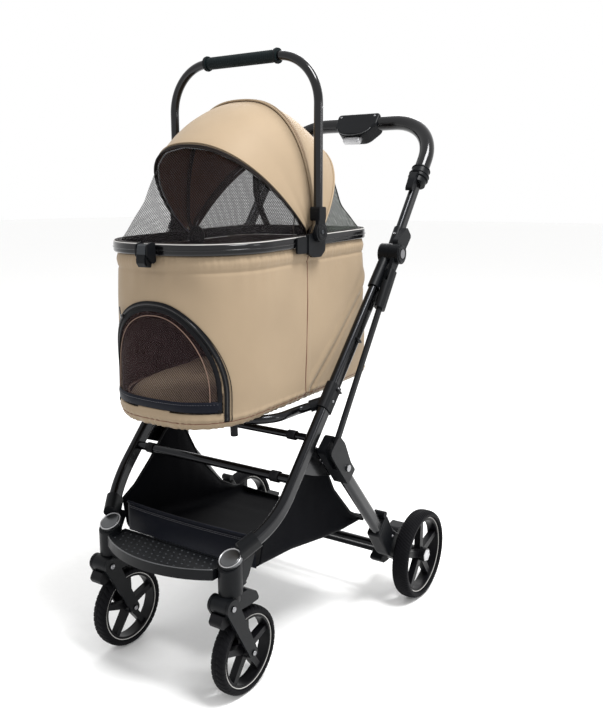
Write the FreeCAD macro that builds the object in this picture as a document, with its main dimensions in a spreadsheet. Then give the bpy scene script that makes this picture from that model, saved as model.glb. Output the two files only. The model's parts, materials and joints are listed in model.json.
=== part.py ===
import FreeCAD, Part
import Sketcher
import math
import os
from FreeCAD import Placement, Rotation, Vector

# A four-wheeled pet stroller with a lift-off cloth carrier, a folding frame and a telescopic push bar.
# Millimetres, +Z up, the front of the stroller faces -Y and the right-hand side is +X.
# Every piece is drawn with y measured from a datum near the middle of the frame. Each piece's Placement
# then moves it by datum_shift, so that the origin lies on the floor under the middle of the stroller.

DIMENSIONS = {
    # whole object
    "datum_shift": 16.5,
    # main tubes: oval, from the front housing over a knee and straight up to the fold hinge
    "tube_deep": 30, "tube_wide": 17, "tube_wall": 1.6,
    "tube_x": 190, "tube_top_y": 103, "tube_top_z": 717,
    "knee_y": -261, "knee_z": 311, "knee_radius": 180, "foot_length": 68,
    # casters
    "caster_x": 143, "caster_y": -330, "housing_radius": 21, "housing_low": 199.5,
    "cap_radius": 20.8, "cap_height": 6, "cap_tilt": 30, "cap_z": 261,
    "stem_radius": 6, "running_gap": 0.05, "crown_radius": 16.5, "crown_height": 14,
    "barrel_y": -350, "barrel_z": 183.5, "barrel_radius": 15, "barrel_half": 16,
    "fork_inside": 17, "fork_thick": 5, "pin_radius": 4,
    # front wheels
    "front_axle_y": -296, "front_radius": 77.8, "front_width": 28, "front_seat": 66, "front_ring": 59,
    "front_hub": 12, "front_hub_width": 31, "front_spoke": 13,
    # rear wheels
    "rear_axle_y": 196, "rear_radius": 95, "rear_width": 35, "rear_seat": 82, "rear_ring": 74,
    "rear_x": 239.5, "rear_hub": 15, "rear_hub_width": 39, "rear_spoke": 15, "axle_radius": 5,
    "rim_width": 22, "spoke_width": 14, "tyre_round": 9,
    # fold hinge and handle
    "hinge_y": 118, "hinge_z": 745, "hinge_radius": 20, "hinge_inside": 179, "hinge_split": 201,
    "hinge_outside": 222, "crank_length": 50, "strut_x": 211.5,
    "handle_x": 192, "handle_y": 204, "handle_z": 838, "handle_slope": 53.5,
    "handle_deep": 26, "handle_wide": 14, "handle_low": -103, "handle_high": 93,
    "bar_radius": 15.5, "bar_wall": 1.8, "bar_low": 73, "bar_top": 221, "bar_bend": 105,
    # rear legs
    "leg_x": 205, "leg_out": -3, "leg_deep": 29, "leg_wide": 18, "leg_top_y": -121, "leg_top_z": 410, "leg_slope": 48.5,
    "leg_start": 47, "leg_end": 305, "leg_pivot": 64,
    # rods across the frame
    "rod_radius": 8,
    # carrier
    "floor_z": 487, "floor_tilt": 2.8, "rim_z": 775.7, "rim_y": -150, "rim_tilt": 2.1, "rim_high": 18.8,
    "rim_out": 7, "rim_in": 2, "wall": 3,
    "window_half": 118, "window_low": 503, "window_high": 675, "window_gap": 0.6,
    # bail handle
    "bail_x": 165.5, "bail_y": -97, "bail_z": 793, "bail_top": 1097, "bail_bend": 85, "bail_radius": 8, "bail_wall": 1.5,
    "grip_half": 82.6, "grip_radius": 10.5,
    # canopy
    "rib_y": -86, "rib_z": 775, "rib_radius": 1.5, "rib_bend": 60, "cloth": 1.5,
    "foot_inset": 12, "foot_straight": 8, "foot_reach": 35, "eye_radius": 5, "eye_side": 0.15,
}

DOC = FreeCAD.newDocument("PetStroller")
SHEET = DOC.addObject("Spreadsheet::Sheet", "Dims")
for row, (alias, value) in enumerate(DIMENSIONS.items(), start=1):
    SHEET.set(f"A{row}", alias)
    SHEET.set(f"B{row}", str(value))
    SHEET.setAlias(f"B{row}", alias)
DOC.recompute()

X_AXIS = Vector(1, 0, 0)
Y_AXIS = Vector(0, 1, 0)
Z_AXIS = Vector(0, 0, 1)
PIECES = []


def dim(alias):
    """A driving dimension from the sheet."""
    return float(SHEET.get(alias))


def finish_piece(item, label, place=None):
    """Names a piece and moves it from the drawing datum to the stroller's own origin."""
    item.Label = label
    place = place or item.Placement
    shift = Vector(0, dim("datum_shift"), 0)
    item.Placement = Placement(place.Base + shift, place.Rotation)
    PIECES.append(item)
    return item


def add_piece(label, shape):
    """A piece whose shape is worked out below with Part's functions."""
    item = DOC.addObject("Part::Feature", label)
    item.Shape = shape
    return finish_piece(item, label)


def mirrored(shape):
    return shape.mirror(Vector(0, 0, 0), X_AXIS)


def add_sides(name, shape):
    """The right-hand piece and its mirror image as two pieces."""
    add_piece(f"{name}_right", shape)
    add_piece(f"{name}_left", mirrored(shape))


def add_pair(label, *shapes):
    """Right-hand pieces and their mirror images as one piece of separate solids."""
    solids = [solid for shape in shapes for side in (shape, mirrored(shape)) for solid in side.Solids]
    add_piece(label, Part.makeCompound(solids))


# ---------------------------------------------------------------- outlines and solids

def corner_arc(before, corner, after, radius):
    """The arc that rounds a corner: its start, middle and end, or None where the corner stays sharp."""
    to_before = (before - corner).normalize()
    to_after = (after - corner).normalize()
    half_angle = to_before.getAngle(to_after) / 2
    if radius <= 0 or half_angle > math.pi / 2 - 0.002:
        return None
    reach = radius / math.tan(half_angle)
    bisector = (to_before + to_after).normalize()
    middle = corner + bisector * (radius / math.sin(half_angle) - radius)
    return corner + to_before * reach, middle, corner + to_after * reach


def rounded_wire(points, radii, closed=True):
    """Straight runs through the points, with each corner rounded to its radius."""
    count = len(points)
    radii = radii if isinstance(radii, (list, tuple)) else [radii] * count
    edges = []
    last = None
    first = None
    for index in range(count):
        at_end = not closed and index in (0, count - 1)
        arc = None if at_end else corner_arc(points[index - 1], points[index], points[(index + 1) % count],
                                             radii[index])
        start, end = (arc[0], arc[2]) if arc else (points[index], points[index])
        if last is not None and last.distanceToPoint(start) > 1e-6:
            edges.append(Part.LineSegment(last, start).toShape())
        if arc:
            edges.append(Part.Arc(*arc).toShape())
        first = start if first is None else first
        last = end
    if closed and last.distanceToPoint(first) > 1e-6:
        edges.append(Part.LineSegment(last, first).toShape())
    return Part.Wire(edges)


def in_side_plane(points, x=0.0):
    """(y, z) pairs at one x."""
    return [Vector(x, y, z) for y, z in points]


def side_plate(points, radii, low, high):
    """A (y, z) outline made solid from x = low to x = high."""
    wire = rounded_wire(in_side_plane(points, low), radii)
    return Part.Face(wire).extrude(X_AXIS * (high - low))


def link_plate(centre_a, radius_a, centre_b, radius_b, low, high):
    """A flat bar with round ends at two (y, z) centres, from x = low to x = high."""
    a = Vector(low, *centre_a)
    b = Vector(low, *centre_b)
    along = (b - a).normalize()
    across = X_AXIS.cross(along)
    gap = a.distanceToPoint(b)
    lean = math.asin((radius_a - radius_b) / gap)
    side = across * math.cos(lean) + along * math.sin(lean)
    other = across * -math.cos(lean) + along * math.sin(lean)
    edges = [
        Part.LineSegment(a + side * radius_a, b + side * radius_b).toShape(),
        Part.Arc(b + side * radius_b, b + along * radius_b, b + other * radius_b).toShape(),
        Part.LineSegment(b + other * radius_b, a + other * radius_a).toShape(),
        Part.Arc(a + other * radius_a, a - along * radius_a, a + side * radius_a).toShape(),
    ]
    return Part.Face(Part.Wire(edges)).extrude(X_AXIS * (high - low))


def cross_pin(x_low, x_high, y, z, radius):
    """A round bar along x."""
    return Part.makeCylinder(radius, x_high - x_low, Vector(x_low, y, z), X_AXIS)


def oval_wire(centre, along, deep_way, deep, wide):
    """An oval section across a tube: deep in one direction, wide in the other, with half-round ends."""
    along = Vector(along).normalize()
    deep_way = (deep_way - along * deep_way.dot(along)).normalize()
    wide_way = along.cross(deep_way)
    if abs(deep - wide) < 1e-6:
        return Part.Wire(Part.Circle(centre, along, deep / 2).toShape())
    run = (deep - wide) / 2
    half = wide / 2
    a = centre + deep_way * run
    b = centre - deep_way * run
    edges = [
        Part.Arc(a + wide_way * half, a + deep_way * half, a - wide_way * half).toShape(),
        Part.LineSegment(a - wide_way * half, b - wide_way * half).toShape(),
        Part.Arc(b - wide_way * half, b - deep_way * half, b + wide_way * half).toShape(),
        Part.LineSegment(b + wide_way * half, a + wide_way * half).toShape(),
    ]
    return Part.Wire(edges)


def oval_bar(start, end, deep_way, deep, wide):
    """A straight bar of oval section between two points."""
    section = oval_wire(start, end - start, deep_way, deep, wide)
    return Part.Face(section).extrude(end - start)


def swept_tube(points, radii, deep_way, deep, wide, wall=0.0):
    """A bent tube along rounded straight runs, hollow where a wall is given."""
    path = rounded_wire(points, radii, closed=False)
    along = points[1] - points[0]
    outer = path.makePipeShell([oval_wire(points[0], along, deep_way, deep, wide)], True, False)
    if not wall:
        return outer
    bore = oval_wire(points[0], along, deep_way, deep - 2 * wall, wide - 2 * wall)
    return outer.cut(path.makePipeShell([bore], True, False))


def block(low, high):
    return Part.makeBox(high[0] - low[0], high[1] - low[1], high[2] - low[2], Vector(*low))


def softened(shape, radius, keep=lambda edge: True):
    """The shape with the chosen edges rounded."""
    edges = [edge for edge in shape.Edges if keep(edge)]
    return shape.makeFillet(radius, edges)


# ---------------------------------------------------------------- directions that several pieces share

TUBE_TOP = Vector(dim("tube_x"), dim("tube_top_y"), dim("tube_top_z"))
KNEE = Vector(dim("tube_x"), dim("knee_y"), dim("knee_z"))
TUBE_UP = (TUBE_TOP - KNEE).normalize()
TUBE_FACE = X_AXIS.cross(TUBE_UP)
FOOT_WAY = Vector(38, 56, 43).normalize()
FOOT = KNEE - FOOT_WAY * dim("foot_length")
CASTER = Vector(dim("caster_x"), dim("caster_y"), 0)
HINGE = Vector(0, dim("hinge_y"), dim("hinge_z"))

HANDLE_UP = Rotation(X_AXIS, dim("handle_slope")).multVec(Y_AXIS)
HANDLE_FACE = X_AXIS.cross(HANDLE_UP)
HANDLE_ORIGIN = Vector(0, dim("handle_y"), dim("handle_z"))

LEG_DOWN = Rotation(X_AXIS, -dim("leg_slope")).multVec(Y_AXIS)
LEG_FACE = X_AXIS.cross(LEG_DOWN)
LEG_TOP = Vector(0, dim("leg_top_y"), dim("leg_top_z"))
LEG_PIVOT = LEG_TOP + LEG_DOWN * dim("leg_pivot")
STRUT_PIN = Vector(0, -101, 420)
STRUT_WAY = (STRUT_PIN - HINGE).normalize()


def on_handle(x, up, out=0.0):
    """A point on the handle's plane: x across, up along the tubes, out from the plane's front face."""
    return HANDLE_ORIGIN + X_AXIS * x + HANDLE_UP * up + HANDLE_FACE * out


def on_leg(down, out=0.0, x=0.0):
    """A point along a rear leg: down from its top end, out from its upper face."""
    return LEG_TOP + LEG_DOWN * down + LEG_FACE * out + X_AXIS * x


def on_strut(distance, x=0.0):
    """A point on the fold strut's line, at a distance from the fold hinge."""
    return HINGE + STRUT_WAY * distance + X_AXIS * x


# ---------------------------------------------------------------- main frame

def main_tube():
    return swept_tube([TUBE_TOP, KNEE, FOOT], [0, dim("knee_radius"), 0], TUBE_FACE,
                      dim("tube_deep"), dim("tube_wide"), dim("tube_wall"))


CAP_WAY = Rotation(X_AXIS, dim("cap_tilt")).multVec(Z_AXIS)
CAP_BASE = CASTER + Z_AXIS * dim("cap_z") - CAP_WAY * dim("cap_height")


def cap_solid(extra=0.0):
    """The disc on top of a caster housing, tilted to the front."""
    return Part.makeCylinder(dim("cap_radius") + extra, dim("cap_height") + 3 * extra, CAP_BASE, CAP_WAY)


def front_housing():
    """A caster socket with the sleeve that takes the lower end of the main tube."""
    radius = dim("housing_radius")
    above_cap = Part.makeCylinder(60, 60, CAP_BASE, CAP_WAY)
    post = Part.makeCylinder(radius, 90, CASTER + Z_AXIS * dim("housing_low"), Z_AXIS).cut(above_cap)
    sleeve_low = FOOT - FOOT_WAY * 18
    sleeve_high = FOOT + FOOT_WAY * 26
    sleeve = oval_bar(sleeve_low, sleeve_high, TUBE_FACE, 37, 24)
    rear_rib = side_plate([(-318, 205), (-300, 222), (-278, 262), (-300, 272), (-325, 246)], 4, 151, 159)
    body = post.fuse([sleeve, rear_rib]).removeSplitter()
    tube_room = swept_tube([TUBE_TOP, KNEE, FOOT - FOOT_WAY * 1], [0, dim("knee_radius"), 0], TUBE_FACE,
                           dim("tube_deep"), dim("tube_wide"))
    bore = Part.makeCylinder(dim("stem_radius") + dim("running_gap"), 52,
                             CASTER + Z_AXIS * (dim("housing_low") - 1), Z_AXIS)
    cap_room = Part.makeCylinder(dim("cap_radius") + 0.2, 30, CAP_BASE, CAP_WAY)
    return body.cut([tube_room, bore, cap_room])


def footplate():
    """A moulded tray between the casters: a bowed front edge, a low lip and a hollow underside."""
    def outline(inset, z):
        side = 125 - inset
        back = -310 - inset
        corner = -354 + inset
        front = -391.5 + inset
        return Part.Face(Part.Wire([
            Part.Arc(Vector(-side, corner, z), Vector(0, front, z), Vector(side, corner, z)).toShape(),
            Part.LineSegment(Vector(side, corner, z), Vector(side, back, z)).toShape(),
            Part.LineSegment(Vector(side, back, z), Vector(-side, back, z)).toShape(),
            Part.LineSegment(Vector(-side, back, z), Vector(-side, corner, z)).toShape(),
        ]))
    tray = outline(0, 225).extrude(Z_AXIS * 18.5)
    recess = outline(5, 242).extrude(Z_AXIS * 3)
    underside = outline(3.5, 224).extrude(Z_AXIS * 15)
    posts = Part.makeCylinder(dim("housing_radius") + 0.1, 90, CASTER + Z_AXIS * 190, Z_AXIS)
    caps = cap_solid(0.2)
    return tray.cut([recess, underside, posts, mirrored(posts), caps, mirrored(caps)])


def crossbars():
    """The two rods between the main tubes."""
    half = dim("tube_x") - dim("tube_wide") / 2
    lower = cross_pin(-half, half, -207.5, 370, dim("rod_radius"))
    upper = cross_pin(-half, half, -155, 433, 6.5)
    return Part.makeCompound([lower, upper])


SUPPORT_END = Vector(176.5, -107.8, 485.2)


def support_tube():
    """The U-shaped tube that the carrier rests on."""
    end = SUPPORT_END
    points = [end, Vector(148, -132, 474), Vector(148, -242, 474)]
    points += [Vector(-p.x, p.y, p.z) for p in reversed(points)]
    return swept_tube(points, [0, 22, 62, 62, 22, 0], Z_AXIS, 16, 16)


def support_bracket():
    """A sleeve round the main tube with a collar for the support tube."""
    middle = TUBE_TOP + TUBE_UP * ((-96 - dim("tube_top_y")) / TUBE_UP.y)
    sleeve = oval_bar(middle - TUBE_UP * 26, middle + TUBE_UP * 26, TUBE_FACE, 37, 22)
    way = (Vector(148, -132, 474) - SUPPORT_END).normalize()
    collar = Part.makeCylinder(11, 24, SUPPORT_END - way * 6, way)
    tube_room = oval_bar(middle - TUBE_UP * 40, middle + TUBE_UP * 40, TUBE_FACE,
                         dim("tube_deep"), dim("tube_wide"))
    rod_room = Part.makeCylinder(dim("rod_radius"), 40, SUPPORT_END, way)
    return sleeve.fuse(collar).cut([tube_room, rod_room])


def hinge_housing():
    """The fixed half of the fold hinge: a barrel and a socket on the main tube's top end."""
    low = dim("hinge_inside")
    high = dim("hinge_split")
    barrel = cross_pin(low, high, HINGE.y, HINGE.z, dim("hinge_radius"))
    middle = Vector((low + high) / 2, TUBE_TOP.y, TUBE_TOP.z)
    sleeve = oval_bar(middle - TUBE_UP * 52, middle + TUBE_UP * 27, TUBE_FACE, 37, high - low)
    tube_room = oval_bar(TUBE_TOP - TUBE_UP * 80, TUBE_TOP, TUBE_FACE, dim("tube_deep"), dim("tube_wide"))
    bolt_room = cross_pin(low - 5, high + 5, HINGE.y, HINGE.z, dim("pin_radius"))
    return barrel.fuse(sleeve).cut([tube_room, bolt_room])


def leg_bracket():
    """The plate that hangs from the main tube and carries the rear leg's pivot."""
    points = [(-196, 380), (-186, 395), (-160, 421), (-108, 392), (-64, 380), (-60, 352), (-92, 345), (-150, 362)]
    plate = side_plate(points, [2, 2, 3, 20, 10, 12, 12, 30], 184, 190)
    pivot_room = cross_pin(180, 200, LEG_PIVOT.y, LEG_PIVOT.z, dim("pin_radius"))
    tube_room = oval_bar(KNEE, TUBE_TOP, TUBE_FACE, dim("tube_deep"), dim("tube_wide"))
    return plate.cut([pivot_room, tube_room])


def frame_screw_set():
    """Hinge bolts, leg pivot bolts and the screws that hold the housings to the tubes."""
    pin = dim("pin_radius")
    hinge_bolt = cross_pin(dim("hinge_inside") - 1, dim("hinge_outside") + 1, HINGE.y, HINGE.z, pin)
    hinge_head = cross_pin(dim("hinge_outside") + 0.6, dim("hinge_outside") + 2.6, HINGE.y, HINGE.z, 9)
    leg_bolt = cross_pin(183, 222, LEG_PIVOT.y, LEG_PIVOT.z, pin)
    leg_head = cross_pin(221.6, 224, LEG_PIVOT.y, LEG_PIVOT.z, 6.5)
    return [hinge_bolt.fuse(hinge_head), leg_bolt.fuse(leg_head)]


def basket():
    """The cloth storage basket: side panels up to the tubes, a floor, and low front and rear bands."""
    side = [(-272, 222), (-274, 278), (-238, 300), (-196, 338), (-132, 408), (-100, 396), (-45, 300),
            (20, 232), (88, 200), (92, 186), (-58, 199), (-165, 216)]
    inside = [(-270, 224.5), (-272, 278), (-272, 460), (86, 460), (86, 190), (-58, 201.5), (-165, 218.5)]
    outer = side_plate(side, [5, 3, 60, 60, 12, 12, 60, 60, 4, 5, 60, 60], -171, 171)
    cavity = side_plate(inside, [4, 0, 0, 0, 4, 60, 60], -169, 169)
    return outer.cut(cavity)


# ---------------------------------------------------------------- handle

def handle_tube():
    low = on_handle(dim("handle_x"), dim("handle_low"))
    high = on_handle(dim("handle_x"), dim("handle_high"))
    solid = oval_bar(low, high, HANDLE_FACE, dim("handle_deep"), dim("handle_wide"))
    bore = oval_bar(low, high, HANDLE_FACE, dim("handle_deep") - 3, dim("handle_wide") - 3)
    return solid.cut(bore)


def handle_knuckle():
    """The moving half of the fold hinge: a disc, a socket for the handle tube and a tail with the strut pin."""
    low = dim("hinge_split") + 0.5
    disc = cross_pin(low, dim("hinge_outside"), HINGE.y, HINGE.z, dim("hinge_radius"))
    tube_x = dim("handle_x")
    socket = oval_bar(on_handle(tube_x, dim("handle_low")), on_handle(tube_x, -62), HANDLE_FACE, 32, 20)
    web_corners = [on_handle(low, up, out) for up, out in ((-126, -6), (-66, -14), (-62, 12), (-110, 32))]
    web = Part.Face(rounded_wire(web_corners, [8, 6, 6, 10])).extrude(X_AXIS * 12)
    bridge_corners = [on_handle(tube_x + 4, up, out) for up, out in ((-102, -14), (-64, -14), (-64, 14), (-102, 14))]
    bridge = Part.Face(rounded_wire(bridge_corners, 4)).extrude(X_AXIS * (low + 6 - tube_x - 4))
    pin = on_strut(dim("crank_length"))
    tail = link_plate((HINGE.y, HINGE.z), 15, (pin.y, pin.z), 8, dim("strut_x") - 3.5, dim("strut_x") + 3.5)
    strut_pin = cross_pin(dim("strut_x") - 9.5, dim("strut_x") + 9.5, pin.y, pin.z, 3)
    tube_room = oval_bar(on_handle(tube_x, dim("handle_low")), on_handle(tube_x, 0), HANDLE_FACE,
                         dim("handle_deep"), dim("handle_wide"))
    bolt_room = cross_pin(low - 5, dim("hinge_outside") + 5, HINGE.y, HINGE.z,
                          dim("pin_radius") + dim("running_gap"))
    return disc.fuse([socket, web, bridge, tail, strut_pin]).cut([tube_room, bolt_room])


def push_bar():
    low = dim("bar_low")
    top = dim("bar_top")
    x = dim("handle_x")
    points = [on_handle(x, low), on_handle(x, top), on_handle(-x, top), on_handle(-x, low)]
    bend = dim("bar_bend")
    size = 2 * dim("bar_radius")
    return swept_tube(points, [0, bend, bend, 0], HANDLE_FACE, size, size, dim("bar_wall"))


def handle_collar():
    """The clamp at the push bar's lower end that slides on the handle tube."""
    x = dim("handle_x")
    body = Part.makeCylinder(18.5, 38, on_handle(x, dim("bar_low") - 20), HANDLE_UP)
    ridge = Part.makeCylinder(20, 9, on_handle(x, dim("bar_low") - 8), HANDLE_UP)
    bar_room = Part.makeCylinder(dim("bar_radius"), 60, on_handle(x, dim("bar_low")), HANDLE_UP)
    tube_room = oval_bar(on_handle(x, dim("bar_low") - 30), on_handle(x, dim("bar_low") + 5), HANDLE_FACE,
                         dim("handle_deep") + 0.8, dim("handle_wide") + 0.8)
    lever_room = side_slot(x, 8.4, dim("bar_low") - 30, dim("bar_low") - 2, 14, 30)
    return body.fuse(ridge).cut([bar_room, tube_room, lever_room])


def side_slot(x, half, up_low, up_high, out_low, out_high):
    """A box on the handle's plane."""
    corners = [on_handle(x - half, up, out) for up, out in
               ((up_low, out_low), (up_high, out_low), (up_high, out_high), (up_low, out_high))]
    return Part.Face(rounded_wire(corners, 0)).extrude(X_AXIS * 2 * half)


def height_lever():
    """The cam lever under a collar that frees the push bar's height."""
    x = dim("handle_x")
    half = 7.5
    corners = [on_handle(x - half, dim("bar_low") + up, out) for up, out in
               ((-4, 14.6), (-4, 22), (-24, 26), (-46, 24), (-52, 19), (-44, 14.6))]
    return Part.Face(rounded_wire(corners, [2, 4, 20, 8, 3, 8])).extrude(X_AXIS * 2 * half)


HOUSING_HALF = 53.4
BELLY = 43


def release_housing():
    """The shell round the middle of the push bar that holds the fold button."""
    top = dim("bar_top")
    half_deep = 18.5
    corners = [on_handle(x, top + up, -half_deep) for x, up in
               ((-HOUSING_HALF, 17), (HOUSING_HALF, 17), (HOUSING_HALF, -14), (30, -BELLY), (-30, -BELLY),
                (-HOUSING_HALF, -14))]
    shell = Part.Face(rounded_wire(corners, [8, 8, 10, 26, 26, 10])).extrude(HANDLE_FACE * 2 * half_deep)
    shell = softened(shell, 5)
    bar_room = Part.makeCylinder(dim("bar_radius"), 140, on_handle(-70, top), X_AXIS)
    button_room = side_slot(0, 22.6, top - BELLY - 10, top - 17, 1.6, 10.4)
    return shell.cut([bar_room, button_room])


def fold_button():
    top = dim("bar_top")
    corners = [on_handle(x, top + up, 2.2) for x, up in
               ((-22, -24.5), (22, -24.5), (22, -BELLY - 15), (-22, -BELLY - 15))]
    return Part.Face(rounded_wire(corners, [1, 1, 6, 6])).extrude(HANDLE_FACE * 7.6)


# ---------------------------------------------------------------- rear frame

def rear_leg():
    low = on_leg(dim("leg_start"), dim("leg_out"), dim("leg_x"))
    high = on_leg(dim("leg_end"), dim("leg_out"), dim("leg_x"))
    solid = oval_bar(low, high, LEG_FACE, dim("leg_deep"), dim("leg_wide"))
    bore = oval_bar(low, high, LEG_FACE, dim("leg_deep") - 3.2, dim("leg_wide") - 3.2)
    pivot_room = cross_pin(180, 230, LEG_PIVOT.y, LEG_PIVOT.z, dim("pin_radius") + dim("running_gap"))
    return solid.cut([bore, pivot_room])


def leg_collar():
    """The forked cap on the rear leg's top end, which turns on the leg pivot and takes the fold strut."""
    corners = [on_leg(down, out, 191) for down, out in
               ((-8, -17), (-8, 24), (20, 26), (66, 14.5), (90, 14), (90, -20), (20, -19))]
    block_solid = Part.Face(rounded_wire(corners, [8, 10, 20, 30, 3, 3, 20])).extrude(X_AXIS * 30)
    leg_room = oval_bar(on_leg(dim("leg_start"), dim("leg_out"), dim("leg_x")),
                        on_leg(dim("leg_end"), dim("leg_out"), dim("leg_x")),
                        LEG_FACE, dim("leg_deep"), dim("leg_wide"))
    slot_corners = [on_leg(down, out, 206.5) for down, out in ((-40, -60), (-40, 60), (42, 60), (42, -60))]
    slot = Part.Face(rounded_wire(slot_corners, 0)).extrude(X_AXIS * 10)
    pivot_room = cross_pin(180, 230, LEG_PIVOT.y, LEG_PIVOT.z, dim("pin_radius") + dim("running_gap"))
    return block_solid.cut([leg_room, slot, pivot_room])


def rear_housing():
    """The moulding from the leg's lower end round to the axle."""
    points = [(92, 212), (120, 170), (164, 141), (203, 118), (213, 96), (196, 74), (150, 88), (100, 120),
              (56, 178)]
    body = side_plate(points, [6, 30, 60, 14, 12, 14, 50, 40, 6], 187, 217)
    body = softened(body, 4, lambda edge: edge.Length > 30 and abs(edge.tangentAt(edge.FirstParameter).x) < 0.1)
    leg_room = oval_bar(on_leg(dim("leg_start"), dim("leg_out"), dim("leg_x")),
                        on_leg(dim("leg_end"), dim("leg_out"), dim("leg_x")),
                        LEG_FACE, dim("leg_deep"), dim("leg_wide"))
    axle_room = cross_pin(180, 230, dim("rear_axle_y"), dim("rear_radius"), dim("axle_radius"))
    knob = cross_pin(190, 214, 88, 213, 7)
    return body.fuse(knob).cut([leg_room, axle_room])


def brake_pedal():
    """The pedals beside the rear housings, joined by a rod in the rear crossbar's shadow."""
    points = [(124, 92), (146, 106), (172, 112), (205, 136), (232, 142), (235, 134), (206, 122), (180, 92),
              (160, 80), (138, 80)]
    pedal = side_plate(points, [5, 12, 20, 20, 3, 3, 20, 16, 8, 8], 158, 186)
    rod = cross_pin(-158, 158, 158, 96, 5)
    room = cross_pin(157, 188, 158, 96, 4.05)
    return pedal.cut(room), rod


# ---------------------------------------------------------------- fold struts

def fold_strut():
    """The rod and its top sleeve between the knuckle's tail and the rear leg."""
    x = dim("strut_x")
    deep_way = X_AXIS.cross(STRUT_WAY)
    sleeve = oval_bar(on_strut(39, x), on_strut(122, x), deep_way, 26, 19)
    rod = oval_bar(on_strut(110, x), on_strut(STRUT_PIN.distanceToPoint(HINGE) + 6, x), deep_way, 15, 8)
    slot_corners = [on_strut(distance, x - 4) + deep_way * side for distance, side in
                    ((30, -20), (30, 20), (66, 20), (66, -20))]
    slot = Part.Face(rounded_wire(slot_corners, 0)).extrude(X_AXIS * 8)
    pin = on_strut(dim("crank_length"))
    pin_room = cross_pin(x - 20, x + 20, pin.y, pin.z, 3 + dim("running_gap"))
    return sleeve.fuse(rod).cut([slot, pin_room])


# ---------------------------------------------------------------- casters

def caster_yoke():
    """The swivelling block: a stem, a crown, a rear hump and the barrel that the fork turns on."""
    x = dim("caster_x")
    low = dim("housing_low")
    stem = Part.makeCylinder(dim("stem_radius"), 58, CASTER + Z_AXIS * (low - 10), Z_AXIS)
    crown = Part.makeCylinder(dim("crown_radius"), dim("crown_height"),
                              CASTER + Z_AXIS * (low - 0.5 - dim("crown_height")), Z_AXIS)
    points = [(-352, 197), (-330, 196.5), (-300, 196), (-276, 184), (-268, 166), (-290, 165), (-330, 167),
              (-350, 168.5)]
    hump = side_plate(points, [4, 2, 16, 14, 4, 8, 10, 4], x - 14, x + 14)
    barrel = cross_pin(x - dim("barrel_half"), x + dim("barrel_half"), dim("barrel_y"), dim("barrel_z"),
                       dim("barrel_radius"))
    bore = cross_pin(x - 30, x + 30, dim("barrel_y"), dim("barrel_z"), dim("pin_radius") + dim("running_gap"))
    return stem.fuse([crown, hump, barrel]).cut(bore)


def bumper():
    """The rubber stop under the barrel."""
    x = dim("caster_x")
    points = [(-366, 174), (-374, 160), (-368, 150), (-350, 153), (-336, 160), (-334, 167.8), (-352, 167.8)]
    solid = side_plate(points, [3, 6, 5, 12, 4, 1, 6], x - 13, x + 13)
    return solid.cut(caster_yoke())


def fork():
    """Two arms on the barrel's pin that carry the front axle."""
    x = dim("caster_x")
    inside = dim("fork_inside")
    outside = inside + dim("fork_thick")
    pivot = (dim("barrel_y"), dim("barrel_z"))
    axle = (dim("front_axle_y"), dim("front_radius"))
    arms = [link_plate(pivot, 15.5, axle, 10.5, x + low, x + high)
            for low, high in ((inside, outside), (-outside, -inside))]
    pins = [cross_pin(x - outside + 1, x + outside - 1, y, z, dim("pin_radius")) for y, z in (pivot, axle)]
    heads = [cross_pin(x + low, x + high, y, z, 5.5) for y, z in (pivot, axle)
             for low, high in ((outside - 1, outside + 1.4), (-outside - 1.4, 1 - outside))]
    return arms[0].fuse([arms[1]] + pins + heads)


def swivel_lock():
    x = dim("caster_x")
    points = [(-308.4, 206), (-308.4, 226), (-303, 226), (-299, 212), (-294, 204), (-300, 202.5)]
    return side_plate(points, [2, 2, 3, 4, 2, 2], x - 7, x + 7)


# ---------------------------------------------------------------- wheels

def radius_circle(sketch, formula):
    """A circle round the sketch's origin whose radius follows a formula of the sheet."""
    index = sketch.addGeometry(Part.Circle(Vector(0, 0, 0), Z_AXIS, 10), False)
    sketch.addConstraint(Sketcher.Constraint("Coincident", index, 3, -1, 1))
    rule = sketch.addConstraint(Sketcher.Constraint("Radius", index, 10))
    sketch.setExpression(f"Constraints[{rule}]", formula)
    return index


def wheel_sketch(body, name):
    """A sketch on the body's plane across the axle."""
    sketch = body.newObject("Sketcher::SketchObject", name)
    plane = next(item for item in body.Origin.OriginFeatures if item.Role == "YZ_Plane")
    sketch.AttachmentSupport = [(plane, "")]
    sketch.MapMode = "FlatFace"
    return sketch


def centred_pad(body, sketch, formula):
    pad = body.newObject("PartDesign::Pad", f"{sketch.Name}_pad")
    pad.Profile = sketch
    pad.Midplane = True
    pad.setExpression("Length", formula)
    return pad


def tyre(end, side, name, x):
    """A ring with rounded shoulders."""
    body = DOC.addObject("PartDesign::Body", name)
    ring = wheel_sketch(body, f"{name}_section")
    radius_circle(ring, f"Dims.{end}_radius")
    radius_circle(ring, f"Dims.{end}_seat")
    centred_pad(body, ring, f"Dims.{end}_width")
    DOC.recompute()
    pad = body.Tip
    tread = [f"Edge{number}" for number, edge in enumerate(pad.Shape.Edges, start=1)
             if isinstance(edge.Curve, Part.Circle) and abs(edge.Curve.Radius - dim(f"{end}_radius")) < 0.01]
    shoulders = body.newObject("PartDesign::Fillet", f"{name}_shoulders")
    shoulders.Base = (pad, tread)
    shoulders.setExpression("Radius", "Dims.tyre_round")
    finish_piece(body, name, Placement(Vector(side * x, dim(f"{end}_axle_y"), dim(f"{end}_radius")), Rotation()))


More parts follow.
